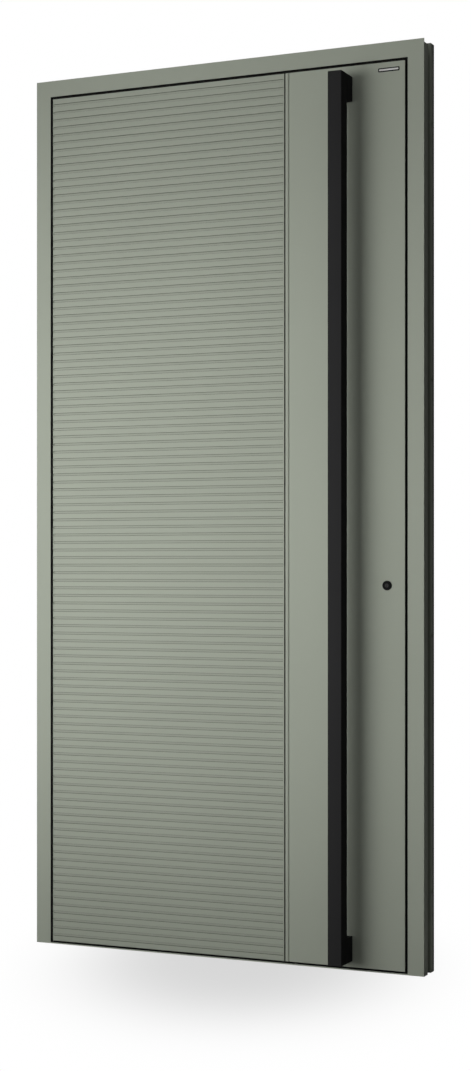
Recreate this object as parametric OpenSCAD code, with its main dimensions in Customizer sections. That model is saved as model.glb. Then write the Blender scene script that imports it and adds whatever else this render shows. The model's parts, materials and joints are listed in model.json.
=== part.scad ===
// Aluminium front door with its frame: a flush leaf that opens inwards, with a milled ribbed panel,
// a smooth panel and a long pull bar outside, and a lever, a lock and three barrel hinges inside.
// Origin: middle of the width and depth, on the underside of the threshold. +Z is up, -Y is outdoors.
// In the modules, u is measured inwards from the frame's outer edge and v from its outdoor face.

/* [Doorset] */
// Overall width of the frame
door_w = 1090; // [950:5:1200]
// Overall height of the frame
door_h = 2300; // [2150:5:2500]
// Depth of the frame and the leaf, which lie flush on both sides
frame_d = 77; // [75:1:90]

/* [Frame section] */
// Width of the frame that shows outdoors
face_w = 42.5; // [38:0.5:52]
// Thickness of the lip that the leaf closes against
lip_t = 12; // [8:0.5:12.5]
// Width of the frame behind the lip
jamb_w = 18; // [16:0.5:22]
// Depth of the outer aluminium shell
shell_d = 28; // [24:1:32]
// Depth of the thermal break
break_d = 14; // [10:1:18]
// Depth of the channel round the outside of the frame
channel_d = 23; // [20:1:24]
// How far the channel is set in
channel_in = 9; // [4:0.5:11]
// Thickness of the cover along the indoor side
cover_t = 10; // [6:0.5:12]
// Thickness of the flange that stands up along the top of the frame, outdoors
flange_t = 2; // [1.5:0.5:4]
// How far the frame is set down behind that flange
top_down = 9; // [4:0.5:11]

/* [Threshold] */
// Height of the threshold
sill_h = 3; // [3:0.5:6]
// Gap between the threshold and the leaf
sill_gap = 5; // [5:0.1:8]
// Height left between the drop seal and the threshold
seal_lift = 0.5; // [0.3:0.1:2]
// Thickness of the drop seal
drop_seal_t = 8; // [6:0.5:9]
// How deep the drop seal sits in the leaf
drop_seal_in = 10; // [6:1:20]
// How far the drop seal stops short of the leaf's edges
seal_end = 1; // [0:0.5:5]

/* [Gaps and seals] */
// Gap that shows round the leaf outdoors
leaf_gap = 7; // [6:0.1:8]
// Gap between the leaf and the frame behind the lip
rebate_gap = 8; // [7.8:0.1:9]
// Gap between the lip and the leaf's shoulder
shoulder_gap = 4; // [3:0.5:6]
// Width of the rebate seal
seal_w = 8.5; // [6:0.5:10]
// Air between the rebate seal and the leaf
seal_air = 0.3; // [0.2:0.1:0.5]

/* [Leaf] */
// Thickness of the outdoor panels
panel_t = 6; // [5:0.5:8]
// Thickness of the indoor panel
inner_t = 3; // [2:0.5:5]
// Depth of the leaf's outer shell, behind the outdoor panels
leaf_shell_d = 16; // [14:0.5:20]
// Depth of the leaf's thermal break
leaf_break_d = 14; // [10:1:16]
// Width of the leaf's stiles and top rail, from the leaf's indoor edge
stile_w = 104; // [95:1:120]
// Height of the leaf's bottom rail
rail_h = 110; // [80:1:140]

/* [Outdoor panels] */
// Width of the smooth panel on the lock side
smooth_w = 319; // [300:1:360]
// Width of the dark joint between the two panels
joint_w = 3; // [3:0.5:8]
// How far the strip in the joint lies below the panels' face
joint_deep = 4; // [2:0.5:4.5]
// Spacing that the grooves of the ribbed panel are set out to
rib_pitch = 20.1; // [18:0.1:26]
// Width of a groove
groove_w = 6.6; // [4:0.1:9]
// Depth of a groove
groove_deep = 2.4; // [1:0.1:3.5]
// Plain edge left beside the grooves
rib_border = 4.5; // [3:0.5:10]
// Distance from the joint to the milled line on the smooth panel
line_off = 8.5; // [5:0.5:12]
// Width of the milled line
line_w = 4; // [2:0.5:5]
// Depth of the milled line
line_deep = 1.6; // [0.8:0.1:3]

/* [Pull handle] */
// Width of the bar
bar_w = 36; // [25:1:45]
// Depth of the bar
bar_d = 40; // [25:1:50]
// Distance from the leaf's lock edge to the bar
bar_edge = 138; // [110:1:170]
// Distance from the leaf's bottom edge to the bar
bar_low = 15; // [10:1:200]
// Distance from the leaf's top edge to the bar
bar_high = 27; // [20:1:200]
// Finger room between the door and the bar
standoff_d = 37; // [30:1:60]
// Height of each standoff
standoff_h = 62.5; // [40:0.5:90]

/* [Lock] */
// Height of the lock cylinder above the floor
lock_z = 958; // [900:1:1000]
// Distance from the leaf's lock edge to the lock cylinder
backset = 46.5; // [45:0.5:52]
// Radius of the lock cylinder
cyl_r = 8.5; // [7:0.1:9.5]
// Radius of the plug that the key turns
plug_r = 5; // [4:0.1:6]
// Running clearance round the plug
plug_fit = 0.05; // [0.02:0.01:0.1]
// Radius of the ring round the cylinder outdoors
ring_r = 12; // [11:0.5:16]
// Thickness of the ring
ring_t = 2.5; // [1.5:0.5:4]
// How far the cylinder stands out of the ring
cyl_proud = 0.8; // [0.5:0.1:2]
// Air round the cylinder in the leaf
cyl_air = 0.1; // [0.05:0.05:0.3]
// Height of the lever's spindle above the cylinder
lever_up = 92; // [72:1:100]
// Radius of the indoor rosettes
rosette_r = 26; // [22:0.5:30]
// Thickness of the indoor rosettes
rosette_t = 8; // [5:0.5:10]
// Length of the lever, from its spindle
lever_l = 128; // [110:1:140]
// Height of the lever's grip
lever_h = 20; // [16:1:26]
// Thickness of the lever's grip
lever_t = 12; // [9:1:16]
// Finger room between the leaf and the lever
lever_room = 42; // [36:1:55]
// Radius of the lever's neck
neck_r = 9; // [7:0.5:9.5]
// Width of the lock's face plate
lock_plate_w = 16; // [14:0.5:16]
// Thickness of the lock's face plate
lock_plate_t = 3; // [2:0.5:4]
// Distance from the leaf's ends to the face plate
lock_plate_end = 150; // [100:5:200]
// Thickness of the strike plates
strike_t = 2; // [1.5:0.5:3]
// Depth of the bolt pockets behind the strike plates
pocket_d = 12; // [8:0.5:12]
// Air round the plates that are let in
seat_air = 0.1; // [0.05:0.05:0.3]
// How far the strike plates reach above and below their bolts
strike_beyond = 35; // [20:1:40]
// Height of the latch above the lever's spindle
latch_up = 8; // [0:1:20]
// Height of the latch bolt
latch_h = 30; // [20:1:40]
// Thickness of the latch bolt
latch_t = 10; // [8:0.5:11]
// Height of the dead bolt above the cylinder
dead_up = 4; // [0:1:10]
// Height of the dead bolt's face
dead_h = 36; // [25:1:45]
// Thickness of the dead bolt
dead_t = 8; // [6:0.5:10]
// Height of the lower hook bolt above the floor
low_hook_z = 320; // [300:5:400]
// Distance from the frame's top to the upper hook bolt
high_hook_down = 400; // [350:5:450]
// Height of each hook bolt's face
hook_h = 40; // [25:1:50]
// Thickness of each hook bolt
hook_t = 8; // [6:0.5:10]
// Width of the keyhole
keyhole_w = 1.6; // [1:0.1:2.5]
// Height of the keyhole
keyhole_h = 7; // [5:0.5:7.5]
// Depth of the keyhole
keyhole_deep = 4; // [2:0.5:10]
// How far each withdrawn bolt stands out of the face plate
bolt_proud = 0.5; // [0.2:0.1:1]
// Length of each bolt
bolt_l = 18; // [14:1:22]
// Air round each bolt in the leaf
bolt_air = 0.3; // [0.1:0.1:0.5]
// Air round each bolt in the frame
pocket_air = 1.5; // [1:0.1:2]

/* [Hinges] */
// Length of each hinge
hinge_l = 110; // [90:1:140]
// Radius of the hinge barrels
barrel_r = 9; // [8:0.5:10]
// Distance from the indoor face to the hinge axis
hinge_out = 14; // [13:0.5:16]
// Radius of the hinge pins
pin_r = 5; // [4:0.5:6]
// Radius of the pins' heads
pin_head_r = 8; // [7:0.5:8]
// Thickness of the pins' heads
pin_head = 3; // [2:0.5:5]
// Running clearance round the pins
pin_fit = 0.05; // [0.02:0.01:0.1]
// Thickness of the hinge plates
wing_t = 5; // [4:0.5:7]
// Width of the hinge plates on the leaf
leaf_wing_w = 42; // [30:1:60]
// Air between the frame's barrels and the plates on the leaf
leaf_wing_air = 3; // [2:0.5:3]
// Air between the leaf's barrels and the plates on the frame
frame_wing_air = 1; // [0.5:0.5:2]
// Distance from the frame's outer edge to its hinge plates
wing_edge = 1; // [0.5:0.5:3]
// Distance from the hinge axis to the blocks that carry the barrels
link_in = 3; // [2:0.5:4]
// Air between the knuckles of a hinge
knuckle_gap = 0.5; // [0.3:0.1:1]
// Distance from the frame's bottom and top to the outer hinges' middles
hinge_end = 230; // [180:5:300]

/* [Fixings and plate] */
// Radius of the holes for the frame screws
screw_r = 4; // [3:0.25:5]
// Distance from the frame's bottom and top to the outer frame screws
screw_end = 200; // [140:5:220]
// Length of the blank plate near the leaf's top corner
plate_l = 56; // [40:1:80]
// Height of the blank plate
plate_h = 10; // [8:0.5:16]
// Distance from the leaf's lock edge to the plate's middle
plate_edge = 42; // [42:1:90]
// Distance from the leaf's top edge to the plate's middle
plate_top = 18.5; // [12:0.1:40]
// Thickness of the plate's dark base
plate_base_t = 0.8; // [0.5:0.1:1.5]
// Thickness of the plate's pale face
plate_face_t = 0.4; // [0.3:0.1:1]
// Dark rim that shows round the pale face
plate_rim = 3; // [1:0.5:3]

/* [Hidden] */
$fn = 64;

// How far a cut runs past the faces that it opens
over = 1;
// Which way each side lies from the middle
HINGE = -1;
LOCK = 1;
sage = [0.545, 0.569, 0.514];
black = [0.05, 0.05, 0.05];
rubber_black = [0.03, 0.03, 0.03];
steel = [0.72, 0.72, 0.73];
pale = [0.86, 0.86, 0.84];

// Frame, by depth
break_end = shell_d + break_d;
channel_end = shell_d + channel_d;
cover_v = frame_d - cover_t;

// Leaf: the front part shows outdoors, the rear part reaches behind the frame's lip
front_u = face_w + leaf_gap;
rear_u = jamb_w + rebate_gap;
front_x = door_w / 2 - front_u;
rear_x = door_w / 2 - rear_u;
leaf_low = sill_h + sill_gap;
front_top = door_h - front_u;
rear_top = door_h - rear_u;
shoulder_v = lip_t + shoulder_gap;
leaf_shell_v = panel_t + leaf_shell_d;
leaf_break_v = leaf_shell_v + leaf_break_d;
inner_v = frame_d - inner_t;
stile_x = rear_x - stile_w;
core_low = leaf_low + rail_h;
core_top = rear_top - stile_w;

// Outdoor panels
smooth_x = front_x - smooth_w;
ribbed_x = smooth_x - joint_w;
panel_h = front_top - leaf_low;
groove_count = round((panel_h + groove_w) / rib_pitch) - 1;
groove_step = (panel_h + groove_w) / (groove_count + 1);

// Pull handle
bar_x = front_x - bar_edge - bar_w;
bar_z0 = leaf_low + bar_low;
bar_z1 = front_top - bar_high;

// Lock: each bolt is [middle height, height, thickness], each strike plate [middle height, height]
inner_mid_v = (channel_end + cover_v) / 2;
lock_x = front_x - backset;
lever_z = lock_z + lever_up;
latch = [lever_z + latch_up, latch_h, latch_t];
dead = [lock_z + dead_up, dead_h, dead_t];
low_hook = [low_hook_z, hook_h, hook_t];
high_hook = [door_h - high_hook_down, hook_h, hook_t];
bolts = [latch, dead, low_hook, high_hook];
strikes = [
    [(latch[0] + dead[0]) / 2, latch[0] - dead[0] + 2 * strike_beyond],
    [low_hook[0], low_hook[1] + 2 * strike_beyond],
    [high_hook[0], high_hook[1] + 2 * strike_beyond]
];

// Hinges
hinge_x = -(rear_x + rebate_gap / 2);
hinge_v = frame_d + hinge_out;
hinge_z = [hinge_end, door_h / 2, door_h - hinge_end];
knuckle_h = hinge_l / 3;

// Frame screws, spaced evenly up each jamb
screw_z = [for (i = [0 : 3]) screw_end + i * (door_h - 2 * screw_end) / 3];

// A straight block between two corners
module block(x0, x1, v0, v1, z0, z1)
    translate([x0, v0 - frame_d / 2, z0])
        cube([x1 - x0, v1 - v0, z1 - z0]);

// An outline in the door's plane, thickened from depth v0 to v1
module layer(v0, v1)
    translate([0, v1 - frame_d / 2, 0])
        rotate([90, 0, 0])
            linear_extrude(v1 - v0)
                children();

// A round bar or hole through the door, from depth v0 to v1
module through(x, z, r, v0, v1)
    translate([x, v1 - frame_d / 2, z])
        rotate([90, 0, 0])
            cylinder(r = r, h = v1 - v0);

// The hole that the lock cylinder goes through, from depth v0 to v1
module cylinder_hole(v0, v1)
    through(lock_x, lock_z, cyl_r + cyl_air, v0, v1);

// A layer of a jamb, mitred at the top, on the hinge side or the lock side
module jamb_layer(side, u0, u1, v0, v1)
    layer(v0, v1)
        polygon([
            [side * (door_w / 2 - u0), 0],
            [side * (door_w / 2 - u0), door_h - u0],
            [side * (door_w / 2 - u1), door_h - u1],
            [side * (door_w / 2 - u1), 0]
        ]);

// A layer of a jamb that stops short at the top, level with what the head has there
module low_jamb_layer(side, u1, v0, v1)
    layer(v0, v1)
        polygon([
            [side * door_w / 2, 0],
            [side * door_w / 2, door_h - top_down],
            [side * (door_w / 2 - top_down), door_h - top_down],
            [side * (door_w / 2 - u1), door_h - u1],
            [side * (door_w / 2 - u1), 0]
        ]);

// A layer of the head, mitred at both ends
module head_layer(u0, u1, v0, v1)
    layer(v0, v1)
        polygon([
            [-(door_w / 2 - u0), door_h - u0],
            [door_w / 2 - u0, door_h - u0],
            [door_w / 2 - u1, door_h - u1],
            [-(door_w / 2 - u1), door_h - u1]
        ]);

// The aluminium of a jamb: the outer shell with its lip, and the inner shell, drilled for the frame screws
module jamb_shells(side) {
    jamb_layer(side, 0, face_w, 0, flange_t);
    low_jamb_layer(side, face_w, flange_t, lip_t);
    low_jamb_layer(side, jamb_w, lip_t, shell_d);
    difference() {
        union() {
            jamb_layer(side, channel_in, jamb_w, break_end, channel_end);
            jamb_layer(side, 0, jamb_w, channel_end, cover_v);
        }
        for (z = screw_z)
            translate([side * (door_w / 2 - jamb_w / 2), inner_mid_v - frame_d / 2, z])
                rotate([0, 90, 0])
                    cylinder(r = screw_r, h = 2 * jamb_w, center = true);
    }
}

module hinge_jamb()
    color(sage)
        jamb_shells(HINGE);

// The lock jamb also has seats for the strike plates and pockets for the bolts
module lock_jamb()
    color(sage)
        difference() {
            jamb_shells(LOCK);
            strike_outlines(seat_air);
            bolt_blocks(bolts, door_w / 2 - jamb_w - over, pocket_d + strike_t + over, pocket_air);
        }

module frame_head()
    color(sage) {
        head_layer(0, face_w, 0, flange_t);
        head_layer(top_down, face_w, flange_t, lip_t);
        head_layer(top_down, jamb_w, lip_t, shell_d);
        head_layer(channel_in, jamb_w, break_end, channel_end);
        head_layer(0, jamb_w, channel_end, cover_v);
    }

// The threshold is a low flat profile between the jambs
module threshold()
    color(sage) {
        block(-(door_w / 2 - face_w), door_w / 2 - face_w, 0, lip_t, 0, sill_h);
        block(-(door_w / 2 - jamb_w), door_w / 2 - jamb_w, lip_t, shell_d, 0, sill_h);
        block(-(door_w / 2 - jamb_w), door_w / 2 - jamb_w, break_end, frame_d, 0, sill_h);
    }

module hinge_jamb_break()
    color(sage)
        jamb_layer(HINGE, channel_in, jamb_w, shell_d, break_end);

module lock_jamb_break()
    color(sage)
        jamb_layer(LOCK, channel_in, jamb_w, shell_d, break_end);

module head_break()
    color(sage)
        head_layer(channel_in, jamb_w, shell_d, break_end);

module threshold_break()
    color(rubber_black)
        block(-(door_w / 2 - jamb_w), door_w / 2 - jamb_w, shell_d, break_end, 0, sill_h);

module hinge_jamb_cover()
    color(black)
        jamb_layer(HINGE, 0, jamb_w, cover_v, frame_d);

module lock_jamb_cover()
    color(black)
        jamb_layer(LOCK, 0, jamb_w, cover_v, frame_d);

module head_cover()
    color(black)
        head_layer(0, jamb_w, cover_v, frame_d);

// The seal runs up the hinge side, across the top and down the lock side, behind the lip
module rebate_seal()
    color(rubber_black)
        layer(lip_t, shoulder_v - seal_air)
            difference() {
                seal_outline(face_w - seal_w, sill_h);
                seal_outline(face_w, sill_h - over);
            }

module seal_outline(u, z0)
    translate([-(door_w / 2 - u), z0])
        square([door_w - 2 * u, door_h - u - z0]);

// A block for each bolt of a row, from x over length l, grown all round by air
module bolt_blocks(row, x, l, air)
    for (b = row)
        block(
            x, x + l,
            inner_mid_v - b[2] / 2 - air, inner_mid_v + b[2] / 2 + air,
            b[0] - b[1] / 2 - air, b[0] + b[1] / 2 + air
        );

// The strike plates' outlines, let in flush with the jamb's inner face and grown along it by air
module strike_outlines(air)
    for (s = strikes)
        block(
            door_w / 2 - jamb_w - air, door_w / 2 - jamb_w + strike_t,
            inner_mid_v - lock_plate_w / 2 - air, inner_mid_v + lock_plate_w / 2 + air,
            s[0] - s[1] / 2 - air, s[0] + s[1] / 2 + air
        );

module strike_plates()
    color(steel)
        difference() {
            strike_outlines(0);
            bolt_blocks(bolts, door_w / 2 - jamb_w - over, strike_t + 2 * over, pocket_air);
        }

// A part of one hinge, built round its axis: side -1 is the frame's, with two knuckles, and +1 the leaf's, with one
module hinge_half(side, wing_from, wing_to) {
    spans = side < 0
        ? [[0, knuckle_h - knuckle_gap], [hinge_l - knuckle_h + knuckle_gap, hinge_l]]
        : [[knuckle_h, hinge_l - knuckle_h]];
    difference() {
        union() {
            translate([side < 0 ? -wing_to : wing_from, -hinge_out, 0])
                cube([wing_to - wing_from, wing_t, hinge_l]);
            for (s = spans)
                translate([0, 0, s[0]]) {
                    cylinder(r = barrel_r, h = s[1] - s[0]);
                    translate([side < 0 ? -wing_from - link_in : link_in, -hinge_out, 0])
                        cube([wing_from, hinge_out, s[1] - s[0]]);
                }
        }
        translate([0, 0, -over])
            cylinder(r = pin_r + pin_fit, h = hinge_l + 2 * over);
    }
}

module at_hinges()
    for (z = hinge_z)
        translate([hinge_x, hinge_v - frame_d / 2, z - hinge_l / 2])
            children();

module hinge_frame_wings()
    color(black)
        at_hinges()
            hinge_half(-1, barrel_r + frame_wing_air, hinge_x + door_w / 2 - wing_edge);

module hinge_pins()
    color(steel)
        at_hinges() {
            cylinder(r = pin_r, h = hinge_l);
            translate([0, 0, hinge_l])
                cylinder(r = pin_head_r, h = pin_head);
        }

module hinge_leaf_wings()
    color(black)
        at_hinges()
            hinge_half(1, barrel_r + leaf_wing_air, barrel_r + leaf_wing_air + leaf_wing_w);

// The ribbed panel is milled with level grooves that stop short of its two long edges
module ribbed_panel()
    color(sage) {
        layer(0, groove_deep)
            difference() {
                translate([-front_x, leaf_low])
                    square([front_x + ribbed_x, panel_h]);
                for (i = [1 : groove_count])
                    translate([-front_x + rib_border, leaf_low + i * groove_step - groove_w])
                        square([front_x + ribbed_x - 2 * rib_border, groove_w]);
            }
        block(-front_x, ribbed_x, groove_deep, panel_t, leaf_low, front_top);
    }

module smooth_panel()
    color(sage)
        difference() {
            block(smooth_x, front_x, 0, panel_t, leaf_low, front_top);
            block(
                smooth_x + line_off, smooth_x + line_off + line_w,
                -over, line_deep,
                leaf_low - over, front_top + over
            );
            cylinder_hole(-over, panel_t + over);
        }

module joint_strip()
    color(rubber_black)
        block(ribbed_x, smooth_x, joint_deep, panel_t, leaf_low, front_top);

module inner_panel()
    color(sage)
        difference() {
            block(-rear_x, rear_x, inner_v, frame_d, leaf_low, rear_top);
            cylinder_hole(inner_v - over, frame_d + over);
        }

module leaf_core()
    color(pale)
        block(-stile_x, stile_x, panel_t, inner_v, core_low, core_top);

// One leaf member: side shells in front of and behind the thermal break
module member_shells(x0, x1, z0, z1, front_x0, front_x1, front_z1) {
    block(front_x0, front_x1, panel_t, shoulder_v, z0, front_z1);
    block(x0, x1, shoulder_v, leaf_shell_v, z0, z1);
    block(x0, x1, leaf_break_v, inner_v, z0, z1);
}

module hinge_stile()
    color(sage)
        member_shells(-rear_x, -stile_x, leaf_low, rear_top, -front_x, -stile_x, front_top);

// The lock stile is recessed for the face plate and cut for the bolts and the cylinder
module lock_stile()
    color(sage)
        difference() {
            member_shells(stile_x, rear_x, leaf_low, rear_top, stile_x, front_x, front_top);
            faceplate_outline(seat_air);
            bolt_blocks(bolts, rear_x - bolt_l, bolt_l + over, bolt_air);
            cylinder_hole(0, frame_d);
        }

module top_rail()
    color(sage)
        member_shells(-stile_x, stile_x, core_top, rear_top, -stile_x, stile_x, front_top);

module bottom_rail()
    color(sage)
        member_shells(-stile_x, stile_x, leaf_low, core_low, -stile_x, stile_x, core_low);

// The leaf's thermal break runs all round between its shells
module leaf_break()
    color(rubber_black)
        difference() {
            layer(leaf_shell_v, leaf_break_v)
                difference() {
                    translate([-rear_x, leaf_low])
                        square([2 * rear_x, rear_top - leaf_low]);
                    translate([-stile_x, core_low])
                        square([2 * stile_x, core_top - core_low]);
                }
            cylinder_hole(leaf_shell_v - over, leaf_break_v + over);
            drop_seal_block(leaf_low - over, rear_x + over);
        }

module drop_seal_block(z0, x)
    block(
        -x, x,
        (leaf_shell_v + leaf_break_v - drop_seal_t) / 2, (leaf_shell_v + leaf_break_v + drop_seal_t) / 2,
        z0, leaf_low + drop_seal_in
    );

module drop_seal()
    color(rubber_black)
        drop_seal_block(sill_h + seal_lift, rear_x - seal_end);

module handle_bar()
    color(black)
        block(bar_x, bar_x + bar_w, -standoff_d - bar_d, -standoff_d, bar_z0, bar_z1);

module upper_standoff()
    color(black)
        block(bar_x, bar_x + bar_w, -standoff_d, 0, bar_z1 - standoff_h, bar_z1);

module lower_standoff()
    color(black)
        block(bar_x, bar_x + bar_w, -standoff_d, 0, bar_z0, bar_z0 + standoff_h);

// A blank plate, with a dark rim round its pale face
module plate_layer(rim, v0, v1)
    block(
        front_x - plate_edge - plate_l / 2 + rim, front_x - plate_edge + plate_l / 2 - rim,
        v0, v1,
        front_top - plate_top - plate_h / 2 + rim, front_top - plate_top + plate_h / 2 - rim
    );

module plate_base()
    color(black)
        plate_layer(0, -plate_base_t, 0);

module plate_face()
    color(pale)
        plate_layer(plate_rim, -plate_base_t - plate_face_t, -plate_base_t);

// The face plate's outline, let in flush with the leaf's edge and grown along it by air
module faceplate_outline(air)
    block(
        rear_x - lock_plate_t, rear_x + air,
        inner_mid_v - lock_plate_w / 2 - air, inner_mid_v + lock_plate_w / 2 + air,
        leaf_low + lock_plate_end - air, rear_top - lock_plate_end + air
    );

module lock_faceplate()
    color(steel)
        difference() {
            faceplate_outline(0);
            bolt_blocks(bolts, rear_x - lock_plate_t - over, lock_plate_t + 2 * over, bolt_air);
        }

module latch_bolt()
    color(steel)
        bolt_blocks([latch], rear_x - bolt_l, bolt_l + bolt_proud, 0);

module dead_bolt()
    color(steel)
        bolt_blocks([dead], rear_x - bolt_l, bolt_l + bolt_proud, 0);

module hook_bolts()
    color(steel)
        bolt_blocks([low_hook, high_hook], rear_x - bolt_l, bolt_l + bolt_proud, 0);

// The cylinder reaches from the outdoor ring to the indoor rosette and is bored for its plug
module cylinder_body()
    color(steel)
        difference() {
            through(lock_x, lock_z, cyl_r, -ring_t - cyl_proud, frame_d + rosette_t + cyl_proud);
            through(lock_x, lock_z, plug_r + plug_fit, -ring_t - cyl_proud - over, inner_v);
        }

module cylinder_plug()
    color(steel)
        difference() {
            through(lock_x, lock_z, plug_r, -ring_t - cyl_proud, inner_v - plug_fit);
            block(
                lock_x - keyhole_w / 2, lock_x + keyhole_w / 2,
                -ring_t - cyl_proud - over, -ring_t - cyl_proud + keyhole_deep,
                lock_z - keyhole_h / 2, lock_z + keyhole_h / 2
            );
        }

module outer_ring()
    color(black)
        difference() {
            through(lock_x, lock_z, ring_r, -ring_t, 0);
            cylinder_hole(-ring_t - over, over);
        }

module inner_rosette()
    color(black)
        difference() {
            through(lock_x, lock_z, rosette_r, frame_d, frame_d + rosette_t);
            cylinder_hole(frame_d - over, frame_d + rosette_t + over);
        }

module lever_rosette()
    color(black)
        through(lock_x, lever_z, rosette_r, frame_d, frame_d + rosette_t);

// The lever points away from the lock edge
module inside_lever()
    color(black) {
        through(lock_x, lever_z, neck_r, frame_d + rosette_t, frame_d + lever_room + lever_t);
        block(
            lock_x - lever_l, lock_x + neck_r,
            frame_d + lever_room, frame_d + lever_room + lever_t,
            lever_z - lever_h / 2, lever_z + lever_h / 2
        );
    }

hinge_jamb();
lock_jamb();
frame_head();
threshold();
hinge_jamb_break();
lock_jamb_break();
head_break();
threshold_break();
hinge_jamb_cover();
lock_jamb_cover();
head_cover();
rebate_seal();
strike_plates();
hinge_frame_wings();
hinge_pins();
ribbed_panel();
smooth_panel();
joint_strip();
inner_panel();
leaf_core();
hinge_stile();
lock_stile();
top_rail();
bottom_rail();
leaf_break();
drop_seal();
handle_bar();
upper_standoff();
lower_standoff();
plate_base();
plate_face();
lock_faceplate();
latch_bolt();
dead_bolt();
hook_bolts();
cylinder_body();
outer_ring();
inner_rosette();
lever_rosette();
inside_lever();
hinge_leaf_wings();
cylinder_plug();
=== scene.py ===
import json
import math

import bmesh
import bpy
import numpy as np
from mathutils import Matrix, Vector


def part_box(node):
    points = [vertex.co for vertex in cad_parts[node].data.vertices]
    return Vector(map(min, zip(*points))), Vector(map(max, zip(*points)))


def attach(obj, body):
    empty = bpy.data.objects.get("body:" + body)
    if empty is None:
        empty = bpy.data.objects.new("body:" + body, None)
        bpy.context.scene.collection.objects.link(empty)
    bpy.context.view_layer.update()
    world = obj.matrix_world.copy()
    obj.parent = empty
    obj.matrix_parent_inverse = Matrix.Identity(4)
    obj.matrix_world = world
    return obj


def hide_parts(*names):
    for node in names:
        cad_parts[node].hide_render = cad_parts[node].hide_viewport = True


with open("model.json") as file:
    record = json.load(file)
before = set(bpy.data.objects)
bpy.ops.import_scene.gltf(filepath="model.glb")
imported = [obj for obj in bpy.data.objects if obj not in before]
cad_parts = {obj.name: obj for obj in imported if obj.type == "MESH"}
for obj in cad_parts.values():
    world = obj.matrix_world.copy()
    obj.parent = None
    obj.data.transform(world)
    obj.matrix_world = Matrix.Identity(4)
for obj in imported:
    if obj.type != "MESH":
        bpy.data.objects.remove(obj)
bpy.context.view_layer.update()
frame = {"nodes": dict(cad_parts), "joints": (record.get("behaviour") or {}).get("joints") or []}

# ---- The studio
# The door stands on a pale seamless floor in front of a white backdrop, with the camera low at its lock side.
# A large soft lamp with a grid, as tall as the door, lights it from the left. A weak lamp fills in from the
# front, a small one lifts the top edge, and another lights the indoor side.
CAMERA_PLACE = (2.093, -4.6015, 1.003)
CAMERA_TURN = math.radians(24.241)
CAMERA_LENS = 65.83
CAMERA_SHIFT = 0.0297
WHITE = (1.0, 1.0, 1.0, 1.0)
AIR_LEVEL = 0.06
LAMP_PLACE = (-1.62, -1.83, 1.19)
LAMP_TURN = math.radians(-31.0)
LAMP_SIZE = (3.09, 2.15)
LAMP_SPREAD = math.radians(77.6)
LAMP_POWER = 25.1
FILL_PLACE = (0.72, -3.42, 1.2)
FILL_SIZE = (1.0, 2.0)
FILL_POWER = 9.4
TOP_LAMP_PLACE = (0.2, -0.4, 2.66)
TOP_LAMP_SIZE = (1.5, 0.1)
TOP_LAMP_POWER = 1.2
BACK_LAMP_PLACE = (-0.7, 3.6, 1.4)
BACK_LAMP_SIZE = (2.4, 2.4)
BACK_LAMP_POWER = 138.0
WIDE_OPEN = math.radians(180.0)
UPRIGHT = math.radians(90.0)
TURNED_ROUND = math.radians(180.0)
FLOOR_HALF = 30.0
FLOOR_BOUNCE = (0.32, 0.32, 0.32, 1.0)
SHADE_REACH = 1.6
SHADE_SAMPLES = 16
SHADE_NEAR = 0.92
SHADE_DEEP = 0.32
SHADE_MIDDLE = (0.04, -0.02, 0.0)
SHADE_TURN = (0.0, 0.0, math.radians(22.6))
SHADE_HALF = (0.4, 0.7, 1.0)
SHADE_FALL = 3.4


def add_node(tree, kind, settings=None, **inputs):
    """Adds a shader node. settings are its own properties; an input is a plain value or another node's
    output."""
    node = tree.nodes.new(kind)
    for name, value in (settings or {}).items():
        setattr(node, name, value)
    for name, value in inputs.items():
        socket = node.inputs[int(name[1:])] if name[1:].isdigit() else node.inputs[name.replace("_", " ")]
        if isinstance(value, bpy.types.NodeSocket):
            tree.links.new(value, socket)
        else:
            socket.default_value = value
    return node


def reckoned(tree, operation, *values):
    """The result of a maths node with these values in its inputs."""
    inputs = {f"_{place}": value for place, value in enumerate(values)}
    return add_node(tree, "ShaderNodeMath", {"operation": operation}, **inputs).outputs[0]


def mapped(tree, value, *limits):
    """A value carried over from one range to another. limits are the ends of the first range and of the
    second."""
    inputs = {f"_{place + 1}": limit for place, limit in enumerate(limits)}
    return add_node(tree, "ShaderNodeMapRange", _0=value, **inputs).outputs[0]


def seen_directly(tree):
    """The share of a ray that shows the background: 1 for the camera, a reflection or glass, 0 for other
    light."""
    path = add_node(tree, "ShaderNodeLightPath").outputs
    mirrored = reckoned(tree, "MAXIMUM", path["Is Glossy Ray"], path["Is Transmission Ray"])
    return reckoned(tree, "MAXIMUM", path["Is Camera Ray"], mirrored)


camera = bpy.data.objects.new("studio_camera", bpy.data.cameras.new("studio_camera"))
camera.data.lens = CAMERA_LENS
camera.data.shift_y = CAMERA_SHIFT
camera.location = CAMERA_PLACE
camera.rotation_euler = (UPRIGHT, 0.0, CAMERA_TURN)
bpy.context.scene.collection.objects.link(camera)
bpy.context.scene.camera = camera
bpy.context.scene.view_settings.view_transform = "Standard"

air = bpy.data.worlds.new("studio_air")
air.use_nodes = True
air_level = reckoned(air.node_tree, "MULTIPLY_ADD", seen_directly(air.node_tree), 1.0 - AIR_LEVEL, AIR_LEVEL)
air.node_tree.nodes["Background"].inputs["Color"].default_value = WHITE
air.node_tree.links.new(air_level, air.node_tree.nodes["Background"].inputs["Strength"])
bpy.context.scene.world = air

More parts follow.
